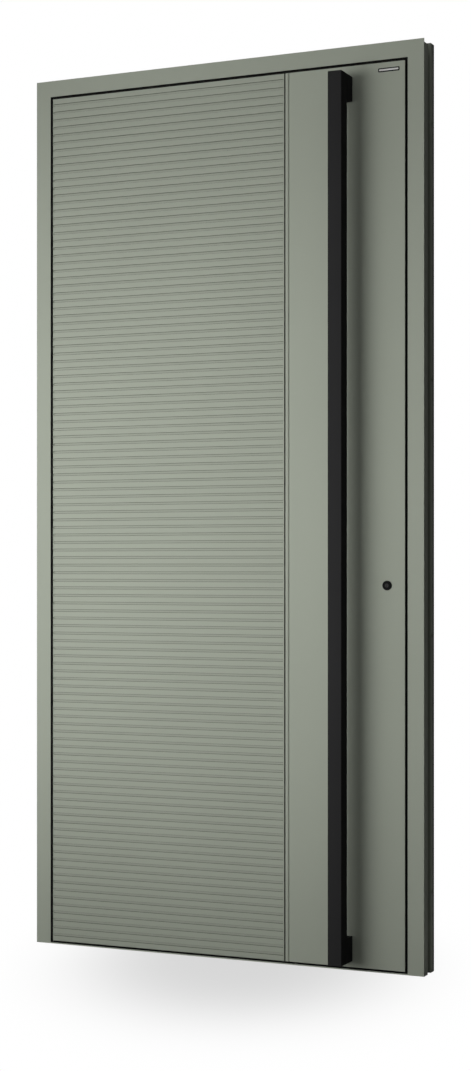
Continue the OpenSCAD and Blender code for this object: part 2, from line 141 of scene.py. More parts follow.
LAMPS = (
    ("front_lamp", LAMP_PLACE, LAMP_SIZE, LAMP_POWER, LAMP_TURN, LAMP_SPREAD),
    ("fill_lamp", FILL_PLACE, FILL_SIZE, FILL_POWER, 0.0, WIDE_OPEN),
    ("top_lamp", TOP_LAMP_PLACE, TOP_LAMP_SIZE, TOP_LAMP_POWER, 0.0, WIDE_OPEN),
    ("back_lamp", BACK_LAMP_PLACE, BACK_LAMP_SIZE, BACK_LAMP_POWER, TURNED_ROUND, WIDE_OPEN),
)
for name, place, size, power, turn, spread in LAMPS:
    lamp_data = bpy.data.lights.new(name, "AREA")
    lamp_data.shape = "RECTANGLE"
    lamp_data.size, lamp_data.size_y = size
    lamp_data.energy = power
    lamp_data.spread = spread
    lamp = bpy.data.objects.new(name, lamp_data)
    lamp.location = place
    lamp.rotation_euler = (UPRIGHT, 0.0, turn)
    lamp.visible_camera = False
    lamp.visible_glossy = name != "back_lamp"
    bpy.context.scene.collection.objects.link(lamp)

floor_paint = bpy.data.materials.new("studio_floor")
floor_paint.use_nodes = True
tree = floor_paint.node_tree
tree.nodes.clear()
open_air = add_node(tree, "ShaderNodeAmbientOcclusion", {"samples": SHADE_SAMPLES}, Distance=SHADE_REACH)
closeness = mapped(tree, open_air.outputs["AO"], 1.0, SHADE_NEAR, 0.0, SHADE_DEEP)
floor_place = add_node(tree, "ShaderNodeTexCoord").outputs["Object"]
from_middle = add_node(tree, "ShaderNodeMapping", {"vector_type": "TEXTURE"}, _0=floor_place, _1=SHADE_MIDDLE,
                       _2=SHADE_TURN, _3=SHADE_HALF).outputs[0]
distance = add_node(tree, "ShaderNodeVectorMath", {"operation": "LENGTH"}, _0=from_middle).outputs["Value"]
faded = reckoned(tree, "POWER", math.exp(-1.0), reckoned(tree, "POWER", distance, SHADE_FALL))
level = reckoned(tree, "SUBTRACT", 1.0, reckoned(tree, "MULTIPLY", faded, closeness))
seen_floor = add_node(tree, "ShaderNodeEmission", Color=WHITE, Strength=level).outputs[0]
lit_floor = add_node(tree, "ShaderNodeBsdfDiffuse", Color=FLOOR_BOUNCE).outputs[0]
seen = seen_directly(tree)
floor_mix = add_node(tree, "ShaderNodeMixShader", _0=seen, _1=lit_floor, _2=seen_floor).outputs[0]
add_node(tree, "ShaderNodeOutputMaterial", Surface=floor_mix)
floor_mesh = bpy.data.meshes.new("studio_floor")
floor_corners = FLOOR_HALF * np.array([[-1, -1, 0], [1, -1, 0], [1, 1, 0], [-1, 1, 0]], float)
floor_mesh.from_pydata(floor_corners.tolist(), [], [list(range(len(floor_corners)))])
floor_mesh.materials.append(floor_paint)
floor = bpy.data.objects.new("studio_floor", floor_mesh)
bpy.context.scene.collection.objects.link(floor)

# ---- Frame profiles
# The two jambs and the head are aluminium extrusions in a matt sage-green powder coat with a fine grain.
# Each has an outer shell with the lip that the leaf closes against, and an inner shell behind the
# thermal break. They are mitred and cleated together at the top corners.
SAGE = (0.347, 0.374, 0.313)
COAT = {"roughness": 0.62, "specular": 0.01, "grain": 1500.0, "bump": 0.00005, "tone": 0.03, "cloud": 2.2}
GRAIN_DETAIL = 2.0
CLOUD_DETAIL = 3.0
GRAIN_SHARE = 0.5
TONE_RANGE = (0.45, 1.05)
GLOSS_RANGE = (0.3, 0.7)
GLOSS_CHANGE = 0.07
CHANNEL_DEEP = 0.023
FLANGE_THICK = 0.002
TOP_DOWN = 0.009
EDGE = 0.0006
EDGE_SEGMENTS = 2
WELD = 1e-6
SCREW_HOLE = 0.004
SCREW_END = 0.2
SCREW_COUNT = 4
SMOOTH_LIMIT = math.radians(30.0)
ACROSS = 0
UPWARDS = 2
ROUND_STEPS = 8


def point(x, y, z):
    """Stacks three arrays of coordinates, stretched to one shape, into an array of points."""
    return np.stack(np.broadcast_arrays(x, y, z), axis=-1).astype(float)


def rows_of(grid, closed=False):
    """The quads of a grid of points. closed joins the last column to the first."""
    if closed:
        grid = np.concatenate([grid, grid[:, :1]], axis=1)
    quads = np.stack([grid[:-1, :-1], grid[1:, :-1], grid[1:, 1:], grid[:-1, 1:]], axis=2)
    return quads.reshape(-1, 4, 3)


def build(name, patches, finish, body, nodes=(), edge=0.0, run=None):
    """Welds patches, each an array of faces (count, corners, 3), into one mesh where corners share a place.
    Faces are turned outwards. finish is a material and its slot. edge rounds every sharp edge by that much,
    or only those along axis run, so that mitred ends stay sharp and close up."""
    material, slot = finish
    mesh = bpy.data.meshes.new(name)
    points = np.concatenate([patch.reshape(-1, 3) for patch in patches])
    faces = []
    start = 0
    for patch in patches:
        count, corners = patch.shape[:2]
        faces += (start + np.arange(count * corners).reshape(count, corners)).tolist()
        start += count * corners
    mesh.from_pydata(points.tolist(), [], faces)
    work = bmesh.new()
    work.from_mesh(mesh)
    bmesh.ops.remove_doubles(work, verts=work.verts, dist=WELD)
    bmesh.ops.recalc_face_normals(work, faces=work.faces)
    if run is not None:
        weight = work.edges.layers.float.new("bevel_weight_edge")
        for line in work.edges:
            way = line.verts[1].co - line.verts[0].co
            sharp = line.is_manifold and line.calc_face_angle() > SMOOTH_LIMIT
            along = abs(way[run]) > (1.0 - WELD) * way.length
            line[weight] = float(sharp and along)
            line.smooth = along or not sharp
    work.to_mesh(mesh)
    work.free()
    mesh.polygons.foreach_set("use_smooth", np.ones(len(mesh.polygons), bool))
    mesh.materials.append(material)
    piece = bpy.data.objects.new(name, mesh)
    bpy.context.scene.collection.objects.link(piece)
    if edge:
        rounding = piece.modifiers.new("soft_edges", "BEVEL")
        rounding.width = edge
        rounding.segments = EDGE_SEGMENTS
        rounding.limit_method = "ANGLE" if run is None else "WEIGHT"
        rounding.angle_limit = SMOOTH_LIMIT
        rounding.harden_normals = True
    else:
        mesh.set_sharp_from_angle(angle=SMOOTH_LIMIT)
    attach(piece, body)
    if nodes:
        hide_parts(*nodes)
    return piece


def grained(name, slot, colour, roughness, specular, grain, bump, tone, cloud, metallic=0.0,
            stretch=(1.0, 1.0, 1.0), shade_attribute=None, shade_share=0.0):
    """A finish with a fine grain, and its slot: one noise at grain lifts the surface by bump and varies the
    roughness, and a slow noise at cloud varies the colour by the share tone. stretch draws the grain out
    along an axis. The last two arguments are an attribute of the mesh's faces and a share: the colour is
    darkened as painted shade by up to that share where the attribute is high."""
    material = bpy.data.materials.new(name)
    material.use_nodes = True
    tree = material.node_tree
    surface = tree.nodes["Principled BSDF"]
    surface.inputs["Specular IOR Level"].default_value = specular
    surface.inputs["Metallic"].default_value = metallic
    place = add_node(tree, "ShaderNodeTexCoord").outputs["Object"]
    drawn = add_node(tree, "ShaderNodeMapping", _0=place, _3=stretch).outputs[0]
    fine = add_node(tree, "ShaderNodeTexNoise", Vector=drawn, Scale=grain, Detail=GRAIN_DETAIL).outputs[0]
    slow = add_node(tree, "ShaderNodeTexNoise", Vector=place, Scale=cloud, Detail=CLOUD_DETAIL).outputs[0]
    both = reckoned(tree, "MULTIPLY_ADD", fine, GRAIN_SHARE, slow)
    darker = [channel * (1.0 - tone) for channel in colour] + [1.0]
    lighter = [channel * (1.0 + tone) for channel in colour] + [1.0]
    share = mapped(tree, both, *TONE_RANGE, 0.0, 1.0)
    blend = add_node(tree, "ShaderNodeMix", {"data_type": "RGBA"}, _0=share, _6=darker, _7=lighter).outputs[2]
    gloss = mapped(tree, fine, *GLOSS_RANGE, roughness * (1.0 - GLOSS_CHANGE),
                   roughness * (1.0 + GLOSS_CHANGE))
    relief = add_node(tree, "ShaderNodeBump", Strength=1.0, Distance=bump, Height=fine).outputs[0]
    # Painted shade: the colour is darkened where the faces' attribute marks shade.
    if shade_attribute:
        painted_shade = add_node(tree, "ShaderNodeAttribute", {"attribute_name": shade_attribute}).outputs["Fac"]
        kept = mapped(tree, painted_shade, 0.0, 1.0, 1.0, 1.0 - shade_share)
        blend = add_node(tree, "ShaderNodeMix", {"data_type": "RGBA", "blend_type": "MULTIPLY"},
                         _0=1.0, _6=blend, _7=kept).outputs[2]
    tree.links.new(blend, surface.inputs["Base Color"])
    tree.links.new(gloss, surface.inputs["Roughness"])
    tree.links.new(relief, surface.inputs["Normal"])
    return material, slot


def carried(outline, travel, place, left_out=()):
    """A closed outline (n, 2) carried to the stations of travel (k, n), one value for each of its points,
    with both ends closed. place turns (across, deep, along) into points. Edges numbered in left_out stay
    open."""
    across, deep = np.asarray(outline, float).T
    grid = place(across, deep, np.asarray(travel, float))
    kept = [i for i in range(len(across)) if i not in left_out]
    quads = rows_of(grid, closed=True).reshape(len(grid) - 1, len(across), 4, 3)[:, kept]
    return [quads.reshape(-1, 4, 3), grid[:1], grid[-1:]]


def pierced(low, high, bottom, top, holes, place, level):
    """A flat strip at level, from low to high across and bottom to top along, with holes on its middle
    line. It is split down that line into two faces, and each goes round every hole on its own side. A hole
    is (height, half outline), and place turns (across, along, level) into points."""
    middle = (low + high) / 2
    line = [np.array([[0.0, bottom]])]
    line += [outline + [0.0, height] for height, outline in holes]
    line = np.concatenate(line + [np.array([[0.0, top]])])
    faces = []
    for side, edge in ((1, high), (-1, low)):
        flat = np.concatenate([line * [side, 1] + [middle, 0], [[edge, top], [edge, bottom]]])
        faces.append(place(flat[:, 0], flat[:, 1], level)[None])
    return faces


def whole(half):
    """The whole outline of a hole or a head: its half and the half's mirror image."""
    return np.concatenate([half, half[::-1][1:-1] * [-1, 1]])


def lining(middle, height, outline, near, far, place, floor=False):
    """The wall of a hole: its whole outline carried from near to far. floor closes the far end."""
    loop = whole(outline) + [middle, height]
    grid = np.stack([place(loop[:, 0], loop[:, 1], near), place(loop[:, 0], loop[:, 1], far)])
    return [rows_of(grid, closed=True)] + ([grid[-1:]] if floor else [])


def half_round(radius, steps=2 * ROUND_STEPS):
    """Half the outline of a round hole, from its lowest to its highest point."""
    turn = np.linspace(-np.pi / 2, np.pi / 2, steps + 1)
    return radius * np.stack([np.cos(turn), np.sin(turn)], axis=1)


sage_coat = grained("sage_powder_coat", "sage_coat", SAGE, **COAT)

jamb_low, jamb_high = np.array(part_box("hinge_jamb"))
break_low, break_high = np.array(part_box("hinge_jamb_break"))
cover_low, cover_high = np.array(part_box("hinge_jamb_cover"))
seal_low, seal_high = np.array(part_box("rebate_seal"))
HALF_WIDTH = -jamb_low[0]
HEIGHT = np.array(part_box("frame_head"))[1, 2]
FACE = jamb_low[1]
FACE_WIDTH = jamb_high[0] - jamb_low[0]
JAMB_WIDTH = cover_high[0] - cover_low[0]
LIP_BACK = seal_low[1]
SHELL_BACK = break_low[1]
BREAK_BACK = break_high[1]
CHANNEL_IN = break_low[0] - jamb_low[0]
CHANNEL_BACK = SHELL_BACK + CHANNEL_DEEP
COVER_FRONT = cover_low[1]
BACK = cover_high[1]
MIDDLE_DEEP = (CHANNEL_BACK + COVER_FRONT) / 2

FLANGE_BACK = FACE + FLANGE_THICK
LOW_TOP = HEIGHT - TOP_DOWN

lip_and_wall = [
    [0, FACE], [FACE_WIDTH, FACE], [FACE_WIDTH, LIP_BACK],
    [JAMB_WIDTH, LIP_BACK], [JAMB_WIDTH, SHELL_BACK], [TOP_DOWN, SHELL_BACK],
]
jamb_shell = np.array(lip_and_wall + [[0, SHELL_BACK], [0, FLANGE_BACK]])
head_shell = np.array(lip_and_wall + [[TOP_DOWN, FLANGE_BACK], [0, FLANGE_BACK]])
inner_shell = np.array([
    [CHANNEL_IN, BREAK_BACK], [JAMB_WIDTH, BREAK_BACK], [JAMB_WIDTH, CHANNEL_BACK], [JAMB_WIDTH, COVER_FRONT],
    [0, COVER_FRONT], [0, CHANNEL_BACK], [CHANNEL_IN, CHANNEL_BACK],
])
# Edges that are made apart: the inner shell's two bored faces, and a jamb's stepped outer side.
REBATE_EDGE = 2
WALL_EDGE = 4
SIDE_EDGES = (5, 6, 7)
screw_heights = np.linspace(SCREW_END, HEIGHT - SCREW_END, SCREW_COUNT)


def on_jamb(side):
    """Places a jamb's outline, measured inwards. side is -1 for the hinge jamb and 1 for the lock jamb."""
    return lambda inwards, deep, along: point(side * (HALF_WIDTH - inwards), deep, along)


def mitred(outline):
    """The stations of an upright member: its foot, and its head cut at 45 degrees."""
    return np.stack([np.zeros(len(outline)), HEIGHT - outline[:, 0]])


def stepped_top(place):
    """The outer side of a jamb, which stops TOP_DOWN short of the top behind the flange, the flange's back
    and the level step there, and the cut at 45 degrees that meets the head."""
    faces = [
        [[TOP_DOWN, SHELL_BACK, 0], [0, SHELL_BACK, 0], [0, SHELL_BACK, LOW_TOP],
         [TOP_DOWN, SHELL_BACK, LOW_TOP]],
        [[0, FLANGE_BACK, 0], [0, SHELL_BACK, 0], [0, SHELL_BACK, LOW_TOP], [0, FLANGE_BACK, LOW_TOP]],
        [[0, FACE, 0], [0, FLANGE_BACK, 0], [0, FLANGE_BACK, LOW_TOP], [0, FLANGE_BACK, HEIGHT],
         [0, FACE, HEIGHT]],
        [[0, FLANGE_BACK, LOW_TOP], [0, FLANGE_BACK, HEIGHT], [TOP_DOWN, FLANGE_BACK, LOW_TOP]],
        [[0, FLANGE_BACK, LOW_TOP], [TOP_DOWN, FLANGE_BACK, LOW_TOP], [TOP_DOWN, SHELL_BACK, LOW_TOP],
         [0, SHELL_BACK, LOW_TOP]],
        [[inwards, deep, HEIGHT - inwards] for inwards, deep in head_shell],
    ]
    return [place(*np.array(corners, float).T)[None] for corners in faces]


def jamb_patches(side, rebate_holes, rebate_walls):
    """Both shells of a jamb. The inner one is bored for the frame screws, and its rebate face has
    rebate_holes."""
    place = on_jamb(side)
    into_jamb = lambda deep, along, inwards: place(inwards, deep, along)
    patches = carried(jamb_shell, mitred(jamb_shell), place, left_out=SIDE_EDGES)[:-1] + stepped_top(place)
    patches += carried(inner_shell, mitred(inner_shell), place, left_out=(REBATE_EDGE, WALL_EDGE))
    bores = [(height, half_round(SCREW_HOLE)) for height in screw_heights]
    holes = sorted(bores + rebate_holes, key=lambda hole: hole[0])
    patches += pierced(CHANNEL_BACK, COVER_FRONT, 0.0, HEIGHT, bores, into_jamb, 0.0)
    patches += pierced(CHANNEL_BACK, COVER_FRONT, 0.0, HEIGHT - JAMB_WIDTH, holes, into_jamb, JAMB_WIDTH)
    for height, outline in bores:
        patches += lining(MIDDLE_DEEP, height, outline, 0.0, JAMB_WIDTH, into_jamb)
    return patches + rebate_walls


build("coated_hinge_jamb", jamb_patches(-1, [], []), sage_coat, "frame", ["hinge_jamb"], EDGE, UPWARDS)


def on_head(inwards, deep, along):
    """Places the head's outline, measured down from the frame's top."""
    return point(along, deep, HEIGHT - inwards)


def head_stations(outline):
    """The head's two ends, each cut at 45 degrees."""
    reach = HALF_WIDTH - outline[:, 0]
    return np.stack([-reach, reach])


head_patches = carried(head_shell, head_stations(head_shell), on_head)
head_patches += carried(inner_shell, head_stations(inner_shell), on_head)
build("coated_head", head_patches, sage_coat, "frame", ["frame_head"], EDGE, ACROSS)

# ---- Lock jamb and strike plates
# The lock jamb is the same extrusion, milled with three seats and, behind them, a pocket for each bolt.
# The strike plates are brushed stainless steel, 2 mm thick, let in flush and held by countersunk screws.
STEEL = (0.56, 0.56, 0.57)
BRUSHED = {"roughness": 0.34, "specular": 0.5, "grain": 900.0, "bump": 0.00001, "tone": 0.04, "cloud": 6.0,
           "metallic": 1.0, "stretch": (1.0, 1.0, 0.02)}
STRIKE_WIDE = 0.016
STRIKE_THICK = 0.002
STRIKE_BEYOND = 0.035
SEAT_AIR = 0.0001
POCKET_AIR = 0.0015
POCKET_DEEP = 0.012
HOOK_TALL = 0.04
PLATE_EDGE = 0.0003
SCREW_FROM_END = 0.009
SCREW_HEAD = 0.0036
SCREW_SLOT = 0.0011
SCREW_SLOT_DEEP = 0.0007
SCREW_SLOT_SHARE = 1.5
SCREW_PROUD = 0.0002
SCREW_SUNK = 0.001
SCREW_STEPS = 24

steel = grained("brushed_steel", "lock_steel", STEEL, **BRUSHED)


def half_square(wide, tall):
    """Half the outline of a rectangular hole, from its lowest to its highest point."""
    return np.array([[0, -tall], [wide, -tall], [wide, tall], [0, tall]]) / 2


def oblong(left, low, right, high):
    """A rectangle's outline, from its left low corner to its right low one and on round."""
    return np.array([[left, low], [right, low], [right, high], [left, high]])


def bolt_in(low, high):
    """A bolt's middle height, its height and its thickness, from the corners of its box."""
    return (low[2] + high[2]) / 2, high[2] - low[2], high[1] - low[1]


hooks_low, hooks_high = np.array(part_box("hook_bolts"))
low_hook = bolt_in(hooks_low, [hooks_high[0], hooks_high[1], hooks_low[2] + HOOK_TALL])
high_hook = bolt_in([hooks_low[0], hooks_low[1], hooks_high[2] - HOOK_TALL], hooks_high)
latch = bolt_in(*np.array(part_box("latch_bolt")))
dead = bolt_in(*np.array(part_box("dead_bolt")))
SEAT_FLOOR = JAMB_WIDTH - STRIKE_THICK
POCKET_FLOOR = SEAT_FLOOR - POCKET_DEEP
strikes = [
    (low_hook[0], HOOK_TALL + 2 * STRIKE_BEYOND, [low_hook]),
    ((latch[0] + dead[0]) / 2, latch[0] - dead[0] + 2 * STRIKE_BEYOND, [dead, latch]),
    (high_hook[0], HOOK_TALL + 2 * STRIKE_BEYOND, [high_hook]),
]


def into_lock_jamb(deep, height, inwards):
    """Places an outline on the lock jamb's rebate face, carried through the jamb."""
    return on_jamb(1)(inwards, deep, height)


def slotted(radius, slot, slot_deep, rise, foot, place):
    """A round head with a straight slot. Its face is a disc split down the slot's middle line, so that each
    half goes round the slot on its own side. slot is half its outline. place turns (aside, up, out) into
    points, with rise and foot the heights of the face and the underside."""
    arc = half_round(radius, SCREW_STEPS // 2)
    halves = [np.concatenate([arc, slot[::-1]]) * [side, 1] for side in (1, -1)]
    patches = [place(half[:, 0], half[:, 1], rise)[None] for half in halves]
    wall = np.stack([place(*whole(arc).T, level) for level in (foot, rise)])
    dip = np.stack([place(*whole(slot).T, level) for level in (rise, rise - slot_deep)])
    return patches + [rows_of(wall, closed=True), wall[:1], rows_of(dip, closed=True), dip[-1:]]


def screw_head(centre, out, radius):
    """A countersunk screw head that stands a hair proud: a slotted disc round centre, facing out."""
    up = (0, 0, 1)
    axes = np.array([np.cross(up, out), up, out], float)
    slot = half_square(SCREW_SLOT, radius * SCREW_SLOT_SHARE)
    return slotted(radius, slot, SCREW_SLOT_DEEP, SCREW_PROUD, -SCREW_SUNK,
                   lambda aside, along, proud: centre + point(aside, along, proud) @ axes)


def plate_faces(low, bottom, high, top, holes, back, front, place):
    """A flat plate with holes: its rim, its back and front, and the walls of the holes."""
    rim = oblong(low, bottom, high, top).T
    patches = [rows_of(np.stack([place(*rim, level) for level in (back, front)]), closed=True)]
    for level in (back, front):
        patches += pierced(low, high, bottom, top, holes, place, level)
    for height, outline in holes:
        patches += lining(MIDDLE_DEEP, height, outline, back, front, place)
    return patches


seats, seat_walls, plate_patches, plate_screws = [], [], [], []
for middle, tall, behind in strikes:
    seat = half_square(STRIKE_WIDE + 2 * SEAT_AIR, tall + 2 * SEAT_AIR)
    half_wide = STRIKE_WIDE / 2 + SEAT_AIR
    pockets = [(height, half_square(thick + 2 * POCKET_AIR, high + 2 * POCKET_AIR))
               for height, high, thick in behind]
    seats.append((middle, seat))
    seat_walls += lining(MIDDLE_DEEP, middle, seat, JAMB_WIDTH, SEAT_FLOOR, into_lock_jamb)
    seat_walls += pierced(MIDDLE_DEEP - half_wide, MIDDLE_DEEP + half_wide, middle - tall / 2 - SEAT_AIR,
                          middle + tall / 2 + SEAT_AIR, pockets, into_lock_jamb, SEAT_FLOOR)
    low, high = MIDDLE_DEEP - STRIKE_WIDE / 2, MIDDLE_DEEP + STRIKE_WIDE / 2
    ends = middle - tall / 2, middle + tall / 2
    plate_patches += plate_faces(low, ends[0], high, ends[1], pockets, SEAT_FLOOR, JAMB_WIDTH, into_lock_jamb)
    for height, outline in pockets:
        seat_walls += lining(MIDDLE_DEEP, height, outline, SEAT_FLOOR, POCKET_FLOOR, into_lock_jamb,
                             floor=True)
    for end in (ends[0] + SCREW_FROM_END, ends[1] - SCREW_FROM_END):
        plate_screws += screw_head(into_lock_jamb(MIDDLE_DEEP, end, JAMB_WIDTH), (-1, 0, 0), SCREW_HEAD)

build("coated_lock_jamb", jamb_patches(1, seats, seat_walls), sage_coat, "frame", ["lock_jamb"], EDGE,
      UPWARDS)
build("steel_strike_plates", plate_patches, steel, "frame", ["strike_plates"], PLATE_EDGE)
build("strike_screws", plate_screws, steel, "frame")

# ---- Thermal breaks
# Bars of glass-filled polyamide join the outer and inner shells of the frame and the leaf, crimped in. The
# frame's were coated along with its channel in the same green, darkened as painted shade for the recess; the
# leaf's are black.
# Painted shade: the frame's breaks are the sage coat made darker for the shaded channel they sit in.
COATED_AND_SHADED_BREAK = (0.285, 0.305, 0.25)
COATED_FILM = {**COAT, "roughness": 0.7, "specular": 0.05, "grain": 1200.0, "bump": 0.00004, "cloud": 3.0}
BLACK_BREAK = (0.018, 0.018, 0.019)
BARE_BAR = {"roughness": 0.6, "specular": 0.1, "grain": 1400.0, "bump": 0.00003, "tone": 0.08, "cloud": 4.0}

coated_polyamide = grained("coated_polyamide", "break_plastic", COATED_AND_SHADED_BREAK, **COATED_FILM)
black_polyamide = grained("black_polyamide", "break_plastic", BLACK_BREAK, **BARE_BAR)


def finished(node, finish):
    """Gives a CAD node, whose shape is right, the material of its finish."""
    for held in frame["nodes"][node].material_slots:
        held.material = finish[0]


for node in ("hinge_jamb_break", "lock_jamb_break", "head_break"):
    finished(node, coated_polyamide)
for node in ("threshold_break", "leaf_break"):
    finished(node, black_polyamide)

# ---- Indoor covers
# A black powder-coated aluminium cover clips on along the indoor side of each frame member.
# The three are mitred as the frame is.
COVER_BLACK = (0.012, 0.012, 0.0125)
BLACK_COAT = {**COAT, "roughness": 0.6, "specular": 0.0, "tone": 0.05, "cloud": 3.0}
COVER_EDGE = 0.0008

cover_coat = grained("black_cover_coat", "black_coat", COVER_BLACK, **BLACK_COAT)
cover = oblong(0, COVER_FRONT, JAMB_WIDTH, BACK)
for side, name in ((-1, "hinge_jamb_cover"), (1, "lock_jamb_cover")):
    build("black_" + name, carried(cover, mitred(cover), on_jamb(side)), cover_coat, "frame",
          [name], COVER_EDGE, UPWARDS)
build("black_head_cover", carried(cover, head_stations(cover), on_head), cover_coat, "frame",
      ["head_cover"], COVER_EDGE, ACROSS)

# ---- Threshold
# A low flat sill joins the jambs at the floor. It is coated aluminium on both sides of its own thermal break,
# and the indoor part has fine grooves along it for grip.
SILL_GROOVES = 6
SILL_GROOVE = 0.0012
SILL_GROOVE_DEEP = 0.0006
SILL_MARGIN = 0.005
GROOVE_SHAPE = ((0.0, 0.0), (1 / 3, 1.0), (2 / 3, 1.0), (1.0, 0.0))

sill_low, sill_high = np.array(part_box("threshold"))
inside = HALF_WIDTH - JAMB_WIDTH


def between(start, end, outline):
    """The stations of a straight run: start and end, each once for every point of the outline."""
    return np.array([[start], [end]]) + np.zeros(len(outline))


def along_sill(outline, half):
    """A sill profile of (depth, height), carried along the opening from -half to half."""
    on_sill = lambda deep, height, along: point(along, deep, height)
    return carried(outline, between(-half, half, outline), on_sill)


sill_patches = along_sill(oblong(FACE, sill_low[2], LIP_BACK, sill_high[2]), HALF_WIDTH - FACE_WIDTH)
sill_patches += along_sill(oblong(LIP_BACK, sill_low[2], SHELL_BACK, sill_high[2]), inside)
groove_at = np.linspace(BREAK_BACK + SILL_MARGIN, BACK - SILL_MARGIN - SILL_GROOVE, SILL_GROOVES)
across, down = np.array(GROOVE_SHAPE).T
dips = groove_at[:, None] + SILL_GROOVE * across
grooved = np.stack([dips.ravel(), (sill_high[2] - SILL_GROOVE_DEEP * down + 0 * dips).ravel()], axis=1)
sill_rim = [[BACK, sill_high[2]], [BACK, sill_low[2]], [BREAK_BACK, sill_low[2]], [BREAK_BACK, sill_high[2]]]
sill_patches += along_sill(np.concatenate([sill_rim, grooved]), inside)
build("coated_threshold", sill_patches, sage_coat, "frame", ["threshold"])

# ---- Rebate seal
# A black EPDM gasket with a soft bulb runs in one length up the hinge jamb, along the head and down the lock
# jamb. Its foot is pressed into a groove in the back of the lip.
RUBBER = (0.012, 0.012, 0.012)
BULB_ROUND = 0.0018
FOOT_ROUND = 0.0003
SEAL_WIDE = 0.0085
SOFT_SKIN = {"roughness": 0.75, "specular": 0.08, "grain": 900.0, "bump": 0.00004, "tone": 0.1, "cloud": 5.0}

rubber = grained("black_rubber", "seal_rubber", RUBBER, **SOFT_SKIN)


def rounded(corners, radii, steps=ROUND_STEPS):
    """A closed outline with each corner turned into an arc. The arc of a corner touches both its sides, at
    its radius over the tangent of half the angle between them, and its points are spread evenly in angle
    round its centre."""
    corners = np.asarray(corners, float)
    radii = np.broadcast_to(np.asarray(radii, float), len(corners))[:, None]
    back = np.roll(corners, 1, axis=0) - corners
    ahead = np.roll(corners, -1, axis=0) - corners
    back /= np.linalg.norm(back, axis=1)[:, None]
    ahead /= np.linalg.norm(ahead, axis=1)[:, None]
    half = np.arccos(np.clip((back * ahead).sum(1), -1, 1))[:, None] / 2
    middle = corners + (back + ahead) / (2 * np.cos(half)) * radii / np.sin(half)
    first = corners + back * radii / np.tan(half) - middle
    last = corners + ahead * radii / np.tan(half) - middle
    sweep = np.pi - 2 * half[:, None]
    share = np.linspace(0, 1, steps + 1)[None, :, None]
    arc = np.sin((1 - share) * sweep) * first[:, None] + np.sin(share * sweep) * last[:, None]
    return (middle[:, None] + arc / np.sin(sweep)).reshape(-1, 2)


def capped(grid):
    """A tube of points with both ends closed."""
    return [rows_of(grid, closed=True), grid[:1], grid[-1:]]


def round_the_opening(outline, foot):
    """Carries an outline, measured inwards from the frame's edge, up one jamb, along the head and down the
    other."""
    across, deep = outline.T
    x = np.stack([across - HALF_WIDTH, across - HALF_WIDTH, HALF_WIDTH - across, HALF_WIDTH - across])
    z = np.stack([0 * across + foot, HEIGHT - across, HEIGHT - across, 0 * across + foot])
    return capped(point(x, deep, z))


seal_outline = rounded(oblong(FACE_WIDTH - SEAL_WIDE, seal_low[1], FACE_WIDTH, seal_high[1]),
                       [FOOT_ROUND, FOOT_ROUND, BULB_ROUND, BULB_ROUND])
build("bulb_seal", round_the_opening(seal_outline, seal_low[2]), rubber, "frame", ["rebate_seal"])

# ---- Gap linings
# The edges that face each other across the gap round the leaf are lined with thin black strip as painted
# shade, so the gap reads as one dark line. One length lies inside the lip, one round the leaf's edge, one on
# the leaf's shoulder behind them, and a thin black tread lies on the threshold in front of the drop seal, all
# painted shade.
LINING_THICK = 0.0011
LINING_IN = 0.0005
LINING_CLEAR = 0.0004
SHOULDER_LINING = 0.001
TREAD_THICK = 0.0003
smooth_low, smooth_high = np.array(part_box("smooth_panel"))
FRONT_X = smooth_high[0]
FRONT_TOP = smooth_high[2]
LEAF_FOOT = smooth_low[2]
SHOULDER_DEEP = 0.016

# Painted shade: a black strip inside the lip, where the gap's shadow falls.
lip_lining = oblong(FACE_WIDTH, FACE + LINING_IN, FACE_WIDTH + LINING_THICK, LIP_BACK - LINING_CLEAR)
build("lip_lining", round_the_opening(lip_lining, sill_high[2]), rubber, "frame")

# Painted shade: a black strip round the leaf's edge, where the gap's shadow falls.
lining_ring = oblong(0, LINING_IN, LINING_THICK, SHOULDER_DEEP - LINING_CLEAR)
out, deep = lining_ring.T
lining_grid = point(
    np.stack([-FRONT_X - out, -FRONT_X - out, FRONT_X + out, FRONT_X + out]),
    FACE + deep,
    np.stack([LEAF_FOOT - out, FRONT_TOP + out, FRONT_TOP + out, LEAF_FOOT - out]),
)
build("leaf_lining", [rows_of(np.concatenate([lining_grid, lining_grid[:1]]), closed=True)], rubber, "leaf")

leaf_edge = HALF_WIDTH - FRONT_X - LINING_THICK
# Painted shade: a black strip on the leaf's shoulder, at the back of the shaded gap.
shoulder_lining = oblong(FACE_WIDTH + LINING_CLEAR, FACE + SHOULDER_DEEP - SHOULDER_LINING, leaf_edge,
                         FACE + SHOULDER_DEEP)
build("shoulder_lining", round_the_opening(shoulder_lining, LEAF_FOOT), rubber, "leaf")

# Painted shade: a black tread on the threshold's top, where the bottom gap is in shadow.
tread_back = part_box("drop_seal")[0][1] - LINING_CLEAR
tread_half = HALF_WIDTH - FACE_WIDTH - LINING_THICK - LINING_CLEAR
tread = oblong(FACE + LINING_IN, sill_high[2], tread_back, sill_high[2] + TREAD_THICK)
build("threshold_tread", along_sill(tread, tread_half), rubber, "frame")

